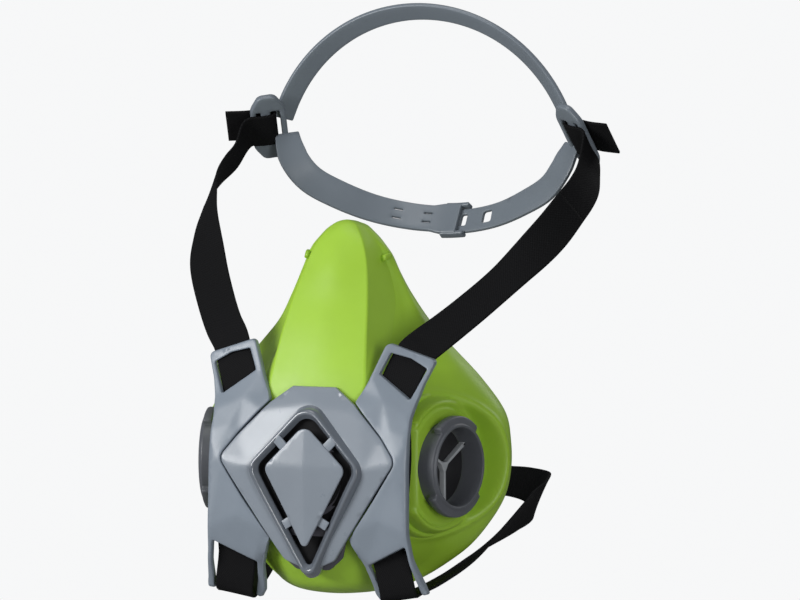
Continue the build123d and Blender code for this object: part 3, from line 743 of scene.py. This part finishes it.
ARM_TOP = [(27.0, 46.5, -43.4), (46.4, 41, -41.6)]
ARM_OUTER = [(41.2, 26, -48.4), (40.2, 21, -51.9), (40.4, 12, -55.6), (40.5, 0, -57.2), (40.9, -24, -57.6),
             (41.9, -36, -54.2), (44.8, -46.8, -46.6)]
ARM_FOLD = [(22.6, 35.2, -47.2), (28.5, 26, -51.0), (33.0, 15, -55.0), (37.4, 5.0, -57.4)]
SHOULDER = [(18.6, 29, -49.2), (17.4, 24.8, -52.2), (20.4, 21.8, -53.4), (28.8, 12.2, -55.4), (35.8, 3.2, -58.0)]
LOWER_FOLD = [(36.0, -2.5, -57.9), (29.5, -19, -57.3), (22.9, -35.5, -52.6)]
KITE_LOWER = [(32.6, -3, -58.1), (26.3, -11.8, -57.6), (18.3, -23.5, -56.4), (16.9, -28, -54.6)]
ARM_INNER_LOW = [(21.1, -37.7, -49.6), (22.8, -44, -46.0), (25.4, -51, -43.4)]
FRAME_SPOTS = ARM_TOP + ARM_OUTER + ARM_FOLD + SHOULDER + LOWER_FOLD + KITE_LOWER + ARM_INNER_LOW
FRAME_THICKNESS = 3.2


def chain(stations, spots):
    """Crease edges that join neighbouring stations of a run."""
    numbers = [spots.index(s) for s in stations]
    return list(zip(numbers, numbers[1:]))


FRAME_CREASES = chain(ARM_FOLD, FRAME_SPOTS) + chain(LOWER_FOLD, FRAME_SPOTS) + chain(ARM_OUTER, FRAME_SPOTS)
frame_height = relief(FRAME_SPOTS, FRAME_CREASES, 0.7)

WING = [
    (27.0, 47.4, 2.2), (46.3, 41.0, 1.8), (42.8, 32, 9), (41.0, 25, 9), (40.1, 19, 12), (40.4, 8, 30),
    (40.7, -24, 40), (41.5, -33, 20), (45.0, -47.3, 0.9), (42.3, -48.0, 0.9), (39.35, -28.6, 0.8),
    (22.75, -36.8, 0.8), (26.2, -50.2, 0.7), (24.8, -51.3, 0.8), (22.7, -48.2, 2), (20.9, -37.5, 9),
    (16.2, -26.9, 1.0), (26.5, -12.2, 30), (36.2, 3.2, 4.3), (29.2, 12.4, 20), (17.4, 25.0, 1.2), (21.3, 33.0, 20),
]
UPPER_WINDOW = [(43.4, 37.8, 0.8), (36.7, 41.6, 3), (28.7, 43.6, 0.8), (25.2, 35.6, 0.8), (38.4, 26.2, 0.8)]


def flat_line(stations):
    """A run's places without their heights."""
    return [s[:2] for s in stations]


def make_frame():
    """Two wings joined behind the cover by a ledge with the valve's opening; the ledge is darkened as painted shade.
    """
    folds = []
    for run in (ARM_FOLD, LOWER_FOLD):
        line = np.array(flat_line(run))
        folds += [line, line + (0.9, 0.4), line - (0.9, 0.4)]
    points, faces = plate(rounded(WING), [rounded(UPPER_WINDOW)], in_front(frame_height), FRAME_THICKNESS, 0.55, 1.6,
                          folds)
    add_piece("frame_wing_left", points, faces, *FRAME, "harness_frame")
    add_piece("frame_wing_right", [(-x, y, z) for x, y, z in points], faces, *FRAME)
    ledge = rounded([(0, 26, 0), (14, 23, 2), (33, 4, 4), (18, -21.5, 4), (8, -26, 3), (-8, -26, 3), (-18, -21.5, 4),
                     (-33, 4, 4), (-14, 23, 2)])
    # The ledge is dark seat grey as painted shade, where it shows through the cover's top slot.
    add_plate("frame_ledge", LEDGE_IN_PAINTED_SHADE, ledge, [valve_circle(18)], in_front(cover_height, 2.4), 1.6, 0.3)
    housing = rounded([(-15.6, -22.4, 1), (15.6, -22.4, 1), (12.4, -34.2, 2), (6.6, -39.2, 3), (-6.6, -39.2, 3),
                       (-12.4, -34.2, 2)])
    add_plate("valve_housing", HOUSING, housing, [], in_front(cover_height, 3.2), 1.4, 0.4)


# ---------------------------------------------------------------- exhalation cover

COVER_SPOTS = [
    (0, 30.6, -50.2), (8.9, 30.4, -49.8), (17.2, 24.1, -52.1), (20, 21.5, -53.2), (28.7, 12, -55.0),
    (35.6, 3.2, -58.0), (32.4, -3, -58.3), (26.1, -11.6, -57.9), (18.1, -23.3, -56.8), (13.3, -31, -55.8),
    (10.1, -35.2, -54.9), (5, -37.6, -54.5), (0, -38.2, -54.4), (0, 24, -54.0), (23.4, 0.5, -58.9), (0, 0, -58.9),
    (0, -30, -57.0),
]
cover_height = relief(COVER_SPOTS, [(13, 14), (14, 16)], 0.9)
COVER_HALF = [(8.7, 30.3, 0.6), (17.2, 24.0, 1.5), (28.9, 12.0, 25), (35.7, 3.2, 4.0), (18.2, -23.2, 60),
              (10.2, -35.2, 4), (4.5, -37.6, 3)]
RING_STEPS = 9
ARC_STEPS = 14


def kite(top, side, bottom, top_round, side_round, bottom_round):
    """A kite outline with round corners and a fixed number of points on each stretch."""
    corners = [(0, top, top_round), (side, 0, side_round), (0, bottom, bottom_round), (-side, 0, side_round)]
    arcs = [arc_points(corner_arc(corners, k), ARC_STEPS) for k in range(4)]
    line = []
    for arc, following in zip(arcs, arcs[1:] + arcs[:1]):
        line += arc + [arc[-1] + (following[0] - arc[-1]) * t / RING_STEPS for t in range(1, RING_STEPS)]
    return np.array(line)


def loft_loops(loops):
    """Points and faces between loops of equal counts, the last joined to the first."""
    n = len(loops[0])
    rings = [list(range(k * n, (k + 1) * n)) for k in range(len(loops))]
    faces = [face for low, high in zip(rings, rings[1:] + rings[:1]) for face in bridge(low, high)]
    return [tuple(p) for loop in loops for p in loop], faces


ring_front = relief([(0, 24, -57.6), (30, 24, -57.6), (0, 0.5, -61.2), (30, 0.5, -61.2), (0, -9, -61.0),
                     (30, -9, -61.0), (0, -45, -56.0), (30, -45, -56.0)], [(0, 1), (2, 3), (4, 5), (6, 7)], 2.5)


def make_cover():
    """Outer plate, raised ring, a near-black sheet of painted shade behind the ring, and the inner kite plate on its
    four ribs.
    """
    outline = rounded(COVER_HALF + [(-x, z, r) for x, z, r in reversed(COVER_HALF)])
    opening = kite(24.6, 22.8, -42.4, 6, 5, 3)
    add_plate("cover_plate", COVER, outline, [opening], in_front(cover_height), 1.8, 0.45, 1.8,
              nodes=["exhalation_cover"])

    shapes = [
        (kite(21.0, 20.0, -38.6, 5.2, 4.4, 1.6), 3.0), (kite(21.0, 20.0, -38.6, 5.2, 4.4, 1.6), 1.9),
        (kite(21.3, 20.2, -39.0, 5.3, 4.5, 1.7), 1.6), (kite(22.9, 21.5, -41.2, 5.8, 5.0, 2.4), 0.45),
        (kite(23.3, 21.8, -41.8, 6.0, 5.1, 2.6), 0.12), (kite(23.8, 22.2, -42.4, 6.2, 5.3, 2.8), 0.0),
        (kite(24.6, 22.8, -43.3, 6.4, 5.5, 3.0), 0.04), (kite(25.1, 23.2, -44.0, 6.6, 5.7, 3.2), 0.3),
        (kite(25.6, 23.6, -44.6, 6.8, 5.9, 3.4), 1.0), (kite(27.2, 25.0, -46.6, 7.4, 6.4, 4.0), 3.6),
        (kite(27.2, 25.0, -46.6, 7.4, 6.4, 4.0), 6.5), (kite(25.4, 23.5, -44.0, 6.8, 5.8, 3.6), 6.5),
        (kite(24.8, 23.0, -43.0, 6.6, 5.6, 3.4), 3.6), (kite(22.0, 20.7, -39.6, 5.4, 4.6, 2.0), 3.4),
    ]
    loops = [[(x, ring_front(x, z) + depth, z) for x, z in line] for line, depth in shapes]
    add_piece("cover_ring", *loft_loops(loops), *RING)

    inner = kite(16.8, 16.7, -31.2, 4.2, 3.6, 1.6)
    ridge = relief([(0, 18, -60.0), (0, 0.5, -61.3), (0, -31, -60.2), (17, 0.5, -60.2), (10, 12, -59.7),
                    (10, -16, -59.9)], [(0, 1), (1, 2)], 0.9)
    add_plate("cover_centre", COVER, inner, [], in_front(ridge), 1.1, 0.4, 1.6,
              [[(x, 17), (x, -29)] for x in (0, -0.5, 0.5)])
    # A near-black sheet behind the ring: painted shade that darkens the slots between the ring and the centre plate.
    add_plate("cover_painted_shade_sheet", PAINTED_SHADE_SHEET, kite(23.2, 21.8, -41.0, 5, 4, 3), [valve_circle(13.9)],
              in_front(ring_front, 4.1), 0.5, 0.15)

    for side, side_name in ((1, "left"), (-1, "right")):
        for x, z, turn, level in ((7.5, 6.8, 46, "upper"), (3.4, -18.5, -31, "lower")):
            lean = radians(turn)
            bar = rounded([(0, -1.8, 0.3), (6.4, -1.8, 0.3), (6.4, 1.8, 0.3), (0, 1.8, 0.3)], 3)
            add_plate(f"cover_rib_{level}_{side_name}", COVER, bar, [], lambda u, v, depth: (
                side * (x + u * cos(lean) - v * sin(lean)),
                ring_front(x, z) + 0.7 + depth, z + u * sin(lean) + v * cos(lean)), 0.9, 0.25)


# ---------------------------------------------------------------- filter ports

LUGS = ((88.0, 80.0), (268.0, 104.0))
SPIDER_FRONT = -5.7
PORT_PROFILE = [
    (-14.5, 15.0, 15.0), (-7.8, 15.0, 15.0), (-3.0, 15.0, 15.0), (0.9, 15.0, 15.0), (1.2, 15.12, 15.12),
    (1.35, 15.4, 15.4), (1.35, 15.9, 15.9), (1.2, 16.1, 16.1), (0.55, 16.25, 16.25), (0.45, 16.5, 16.6),
    (0.4, 16.75, 18.6), (0.15, 17.0, 19.1), (-0.3, 17.0, 19.3), (-2.6, 17.0, 19.3), (-3.0, 17.0, 19.1),
    (-3.2, 17.0, 18.8), (-3.3, 17.0, 17.0), (-6.0, 17.0, 17.0), (-14.5, 17.0, 17.0), (-14.8, 16.7, 16.7),
    (-14.8, 15.3, 15.3),
]


def on_port(side, height, across, up):
    """A place by its height along a port's axis and its distances across and up from it."""
    p = PORT_PLACE + PORT_AXIS * height + PORT_LATERAL * across + np.array((0, 0, up))
    return (p[0] * side, p[1], p[2])


def lug_share(angle):
    """1 on a lug, 0 off it, with a short ramp at each end."""
    share = 0.0
    for middle, width in LUGS:
        away = abs((angle - middle + 180) % 360 - 180)
        share = max(share, float(np.clip((width / 2 + 0.6 - away) / 1.2, 0, 1)))
    return share


def make_port(side, name):
    """Bayonet tube with its lugs, and the spider in its bore."""
    angles = sorted(set(list(range(0, 360, 3)) + [m + s * (w / 2 + d) for m, w in LUGS for s in (-1, 1)
                                                   for d in (-0.6, 0, 0.6)]))
    loops = []
    for height, plain, lug in PORT_PROFILE:
        loop = []
        for angle in angles:
            radius = plain + (lug - plain) * lug_share(angle)
            loop.append(on_port(side, height, radius * cos(radians(angle)), radius * sin(radians(angle))))
        loops.append(loop)
    add_piece(f"port_body_{name}", *loft_loops(loops), *PORT, f"port_{name}")

    arms = []
    hub, half_arm, reach = 2.2, 0.55, 15.3
    for turn in (30, 150, 270):
        along = np.array([cos(radians(turn)), sin(radians(turn))])
        aside = np.array([-along[1], along[0]])
        arms += [(*(along * hub - aside * half_arm), 0.8), (*(along * reach - aside * (half_arm + 0.2)), 0.2),
                 (*(along * reach + aside * (half_arm + 0.2)), 0.2), (*(along * hub + aside * half_arm), 0.8)]
    add_plate(f"port_star_{name}", STAR, rounded(arms, 4), [],
              lambda u, v, depth: on_port(side, SPIDER_FRONT - depth, u, v), 2.6, 0.3, 1.5,
              nodes=[f"port_spider_{name}"])


# ---------------------------------------------------------------- webbing and bands


def ribbon_frames(route, spacing=1.2):
    """Smooth places, width and thickness directions and distances along (place, width direction) stations."""
    places = np.array([r[0] for r in route], float)
    widths = unit([r[1] for r in route])
    lengths = np.linalg.norm(np.diff(places, axis=0), axis=1)
    counts = [max(1, round(s / spacing)) for s in lengths]
    line = catmull(np.concatenate([places, widths * 20], axis=1), counts)
    centre, across = line[:, :3], line[:, 3:]
    run = unit(np.gradient(centre, axis=0))
    across = unit(across - (across * run).sum(axis=1, keepdims=True) * run)
    length = np.concatenate([[0], np.cumsum(np.linalg.norm(np.diff(centre, axis=0), axis=1))])
    return centre, across, np.cross(run, across), length


# Half of the section's edge, from the selvedge inwards
WEB_EDGE = [(7.5, 0.0), (7.42, 0.32), (7.1, 0.52), (6.6, 0.55), (6.0, 0.5), (3.0, 0.5)]
WEB_FRONT = [(-u, v) for u, v in WEB_EDGE] + [(0.0, 0.5)] + WEB_EDGE[::-1]
WEB_SECTION = WEB_FRONT + [(u, -v) for u, v in WEB_FRONT[-2:0:-1]]


def webbing(name, route, nodes, body=None):
    """A flat band with selvedges along a route, with its length and width kept as texture coordinates."""
    centre, across, normal, length = ribbon_frames(route)
    n = len(WEB_SECTION)
    points = [tuple(p + a * u + b * v) for p, a, b in zip(centre, across, normal) for u, v in WEB_SECTION]
    rings = [list(range(k * n, (k + 1) * n)) for k in range(len(centre))]
    faces = [face for low, high in zip(rings, rings[1:]) for face in bridge(low, high)]
    faces += [rings[0][::-1], rings[-1]]
    piece = add_piece(name, points, faces, body, "webbing", WEBBING, *nodes)
    layer = piece.data.uv_layers.new(name="weave")
    for loop in piece.data.loops:
        ring, spot = divmod(loop.vertex_index, n)
        layer.data[loop.index].uv = (length[ring] * MM, WEB_SECTION[spot][0] * MM)
    return piece


EAR_MIDDLE = np.array([63.5, 60.5, 119.0])
EAR_LONG = unit((0.15, 0.6, -0.79))
EAR_SHORT = unit((0.9, -0.414, -0.144))
EAR_OUT = np.cross(EAR_SHORT, EAR_LONG)

BAR_WAY = (0.978, -0.067, 0.191)
UPPER_ROUTE = [
    ((30.2, -46.6, 25.0), (0.95, 0, -0.3)), ((32.6, -44.6, 32.0), (0.95, 0, -0.3)),
    ((35.2, -42.2, 39.0), (0.95, 0, -0.3)), ((37.4, -39.6, 43.6), (0.9, 0, -0.42)),
    ((40.0, -36.2, 46.6), (0.82, -0.14, -0.55)), ((44.4, -31.5, 50.8), (0.83, -0.2, -0.52)),
    ((52.2, -20.5, 59.2), (0.84, -0.25, -0.46)), ((62, -4.7, 71.3), (0.84, -0.25, -0.46)),
    ((70.6, 14, 85.4), (0.7, 0.25, -0.65)), ((74.2, 27, 95), (0.5, 0.42, -0.74)),
]
EAR_ROUTE = [
    ((74.2, 27, 95), (0.5, 0.42, -0.74)), ((75.2, 34, 99.2), (0.42, 0.5, -0.74)),
    ((74.8, 42, 103.6), (0.36, 0.55, -0.74)), ((72.8, 49.5, 108.2), (0.28, 0.6, -0.74)),
]
TAIL_SIDE = 2.15
TAIL_LINE = [(8.0, -TAIL_SIDE), (3, -TAIL_SIDE), (-1.2, -TAIL_SIDE), (-2.4, -1.5), (-2.6, 0), (-2.4, 1.5),
             (-1.2, TAIL_SIDE), (3, TAIL_SIDE), (8, TAIL_SIDE + 0.2), (16, TAIL_SIDE + 1.5)]


def mirror_route(route):
    """The same route on the other side."""
    return [((-p[0], p[1], p[2]), (-w[0], w[1], w[2])) for p, w in route]


def make_webbing():
    """Four lengths of webbing on each side."""
    frame_route = [
        ((32.2, -43.2, 32.5), (0.95, 0, -0.3)), ((30.2, -45.9, 24), (1, 0, -0.2)), ((33, -52.0, 4), (1, 0, 0)),
        ((31.2, -52.0, -26), (1, 0, 0.1)), ((32.0, -48.2, -36), BAR_WAY),
    ]
    neck_route = [
        ((31.0, -50.8, -31), (1, 0, 0.15)), ((31.8, -49.4, -37), BAR_WAY), ((33.2, -48.3, -45.4), BAR_WAY),
        ((33.5, -47.4, -48.3), BAR_WAY), ((33.5, -45.6, -49.5), BAR_WAY), ((33.6, -43.4, -49.3), BAR_WAY),
        ((34.1, -40.6, -48.6), BAR_WAY), ((36.8, -30, -46.8), (0.95, -0.2, 0.25)),
        ((41.2, -8, -41.4), (0.9, -0.1, 0.4)), ((45, 16, -33), (0.7, 0.2, 0.65)),
        ((48.6, 42, -24.5), (0.35, 0.45, 0.8)), ((49, 57, -20), (0.15, 0.6, 0.78)), ((44, 69, -17), (0, 0.7, 0.7)),
        ((34, 75.6, -15.8), (0, 0.75, 0.66)), ((26.5, 78, -15.7), (0, 0.75, 0.66)),
        ((20, 78, -15.65), (0, 0.75, 0.66)),
    ]
    for side in ("left", "right"):
        turn = mirror_route if side == "right" else list
        webbing(f"frame_webbing_{side}", turn(frame_route), body="mask", nodes=[f"frame_strap_{side}"])
        upper = webbing(f"upper_webbing_{side}", turn(UPPER_ROUTE), nodes=[f"upper_strap_{side}"])
        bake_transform(upper)
        neck = webbing(f"neck_webbing_{side}", turn(neck_route), nodes=[f"neck_strap_{side}"])
        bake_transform(neck)
        tail = [(tuple(EAR_MIDDLE + EAR_SHORT * u + EAR_OUT * v), tuple(EAR_LONG)) for u, v in TAIL_LINE]
        ear = webbing(f"ear_webbing_{side}", turn(EAR_ROUTE + tail), nodes=[f"strap_tail_{side}"])
        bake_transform(ear)


# ---------------------------------------------------------------- head cradle

CROWN_MIDDLE = 102.8
CROWN_RADIUS = 62.0


def strip_place(route):
    """A place function for a plate bent along a route, x along it and z across it, and the route's length."""
    centre, across, normal, length = ribbon_frames(route, 0.5)

    def place(x, z, depth):
        """A point of the bent plate."""
        spot, aside, out = (np.array([np.interp(x, length, v[:, c]) for c in range(3)])
                            for v in (centre, across, normal))
        return tuple(spot + aside * z + out * depth)

    return place, length[-1]


def crown_route():
    """Stations of the band over the top of the head, from the wearer's right to the left."""
    route = []
    for turn in range(-72, 73, 8):
        swing = radians(turn)
        place = (CROWN_RADIUS * sin(swing), 64 - 2 * cos(swing), CROWN_MIDDLE + CROWN_RADIUS * cos(swing))
        route.append((place, (0.72 * sin(swing), -0.69, 0.72 * cos(swing))))
    return route


NAPE_HALF = [
    ((58.8, 66.2, 115.6), (0.86, -0.45, 0.1)), ((57, 64.6, 111), (0.86, -0.45, -0.1)),
    ((54.4, 64, 105.5), (0.8, -0.5, -0.3)), ((48.4, 65.4, 98.4), (0.6, -0.5, -0.6)),
    ((38.6, 68, 92.8), (0.4, -0.55, -0.75)), ((25.6, 72.2, 87.4), (0.2, -0.6, -0.8)),
    ((12, 75.6, 84.4), (0.08, -0.6, -0.8)), ((0, 76.6, 83.6), (0, -0.6, -0.8)),
]
NAPE_ROUTE = mirror_route(NAPE_HALF) + NAPE_HALF[-2::-1]
CLASP_EDGE = 9.0


def behind(place, distance):
    """The place function moved by a distance in depth."""
    return lambda x, z, depth: place(x, z, depth + distance)


def band_outline(total, half_width, end_width, taper):
    """A long strip's outline, narrower towards its ends."""
    return [(0, -end_width, 0.6), (taper, -half_width, 8), (total - taper, -half_width, 8), (total, -end_width, 0.6),
            (total, end_width, 0.6), (total - taper, half_width, 8), (taper, half_width, 8), (0, end_width, 0.6)]


def on_ear(side):
    """The place function of an ear plate: x along it, z across it."""
    def place(x, z, depth):
        """A point of the ear plate."""
        p = EAR_MIDDLE + EAR_LONG * x + EAR_SHORT * z - EAR_OUT * depth
        return (p[0] * side, p[1], p[2])
    return place


def oblong(low_x, low_z, high_x, high_z, radius):
    """A rectangle with round corners."""
    return rounded([(low_x, low_z, radius), (high_x, low_z, radius), (high_x, high_z, radius),
                    (low_x, high_z, radius)], 5)


def make_cradle():
    """Crown band, nape band with its clasp, and the two slotted ear plates."""
    place, total = strip_place(crown_route())
    outline = rounded(band_outline(total, 4.1, 3.9, 9), 6)
    add_plate("cradle_crown", CRADLE, outline, [], behind(place, -0.9), 1.8, 0.5, 2.2, nodes=["head_cradle"])

    place, total = strip_place(NAPE_ROUTE)
    middle = total / 2
    half = 5.6
    outline = rounded([(0, -4.6, 0.6), (8, -half, 8), (middle - 2.6, -half, 3), (middle + 1.6, -half - 0.9, 2),
                       (middle + CLASP_EDGE, -half - 0.9, 0.4), (middle + CLASP_EDGE, half + 0.9, 0.4),
                       (middle + 1.6, half + 0.9, 2), (middle - 2.6, half, 3), (8, half, 8), (0, 4.6, 0.6)], 6)
    slits = [oblong(middle + low, z - 0.35, middle + low + 3.4, z + 0.35, 0.3)
             for low in (-18.2, -6.0) for z in (-1.9, 1.9)]
    add_plate("cradle_nape_right", CRADLE, outline, slits, behind(place, -1.9), 1.7, 0.4, 2.0)
    outline = rounded([(middle - 4, -4.6, 1), (total - 8, -half, 8), (total, -4.6, 0.6), (total, 4.6, 0.6),
                       (total - 8, half, 8), (middle + CLASP_EDGE + 2, half, 8), (middle - 4, 4.6, 1)], 6)
    windows = [oblong(middle + CLASP_EDGE + 0.4, -2.4, middle + CLASP_EDGE + 2.8, 2.6, 0.6),
               oblong(middle + CLASP_EDGE + 10.4, -2.4, middle + CLASP_EDGE + 14.6, 2.6, 0.8)]
    add_plate("cradle_nape_left", CRADLE, outline, windows, behind(place, -0.1), 1.5, 0.4, 2.0)
    for z, name in ((-half - 0.7, "upper"), (half + 0.7, "lower")):
        lip = oblong(middle + 2, z - 0.8, middle + CLASP_EDGE + 3.2, z + 0.8, 0.6)
        add_plate(f"cradle_clasp_{name}", CRADLE, lip, [], behind(place, -1.6), 3.4, 0.5, 2.0)

    outline = rounded([(-15.6, -3.2, 3), (-9, -6.8, 6), (9, -6.8, 6), (15.6, -3.2, 3), (15.6, 3.2, 3), (9.5, 6.8, 6),
                       (-9.5, 6.8, 6), (-15.6, 3.2, 3)], 6)
    slots = [oblong(-8.2, -4.5, 8.2, -0.9, 0.7), oblong(-8.2, 2.9, 8.2, 4.7, 0.5)]
    for side, name in ((1, "left"), (-1, "right")):
        add_plate(f"cradle_ear_{name}", CRADLE, outline, slots, behind(on_ear(side), -1.3), 2.6, 0.7, 1.8)


# ---------------------------------------------------------------- neck buckle

BUCKLE_PLACE = np.array([0, 76.6, -14.0])
BUCKLE_OUT = unit((0, -0.66, 0.75))
BUCKLE_UP = np.cross(BUCKLE_OUT, (1, 0, 0))


def on_buckle(x, z, depth):
    """A point by its distances along, across and behind the buckle's front."""
    return tuple(BUCKLE_PLACE + np.array([x, 0, 0]) + BUCKLE_UP * z - BUCKLE_OUT * depth)


def make_buckle():
    """An eye on the left webbing and a hook on the right one."""
    outline = rounded([(1.5, -9.2, 2), (23.5, -10, 3.4), (23.5, 10, 3.4), (1.5, 9.2, 2)], 6)
    holes = [oblong(17.8, -8.2, 21.2, 8.2, 0.8), oblong(4.3, -6, 9.3, 6, 0.8)]
    add_plate("buckle_eye", EYE, outline, holes, behind(on_buckle, -1.2), 2.4, 0.7, 2.0, nodes=["neck_eye"])
    outline = rounded([(-23.5, -10, 3.4), (-1.2, -9.2, 2), (-1.2, 9.2, 2), (-23.5, 10, 3.4)], 6)
    holes = [oblong(-21.2, -8.2, -17.8, 8.2, 0.8)]
    add_plate("buckle_hook", HOOK, outline, holes, behind(on_buckle, -1.2), 2.4, 0.7, 2.0, nodes=["neck_hook"])
    outline = rounded([(-6.5, -5, 1.2), (7.3, -4.8, 1.6), (7.3, 4.8, 1.6), (-6.5, 5, 1.2)], 6)
    add_plate("buckle_tongue", HOOK, outline, [], behind(on_buckle, 1.6), 1.8, 0.6, 2.0)
    for low, high, front, name in ((-6.5, -1.6, 0.9, "root"), (5.4, 7.4, -0.4, "catch")):
        block = oblong(low, -5, high, 5, 0.7)
        add_plate(f"buckle_{name}", HOOK, block, [], behind(on_buckle, front), 2.8 - front, 0.4, 2.0)


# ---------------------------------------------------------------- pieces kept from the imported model


def dress(names, material):
    """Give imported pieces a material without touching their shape."""
    for name in names:
        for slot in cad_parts[name].material_slots:
            slot.material = material


make_camera()
make_studio()
make_facepiece()
make_tabs()
make_frame()
make_cover()
make_port(1, "left")
make_port(-1, "right")
make_webbing()
make_cradle()
make_buckle()
dress(["exhalation_seat", "exhalation_retainer", "port_nut_left", "port_nut_right"], SEAT_PLASTIC)
dress(["port_gasket_left", "port_gasket_right"], GASKET_RUBBER)
dress(["exhalation_valve", "inhalation_valve_left", "inhalation_valve_right"], VALVE_RUBBER)
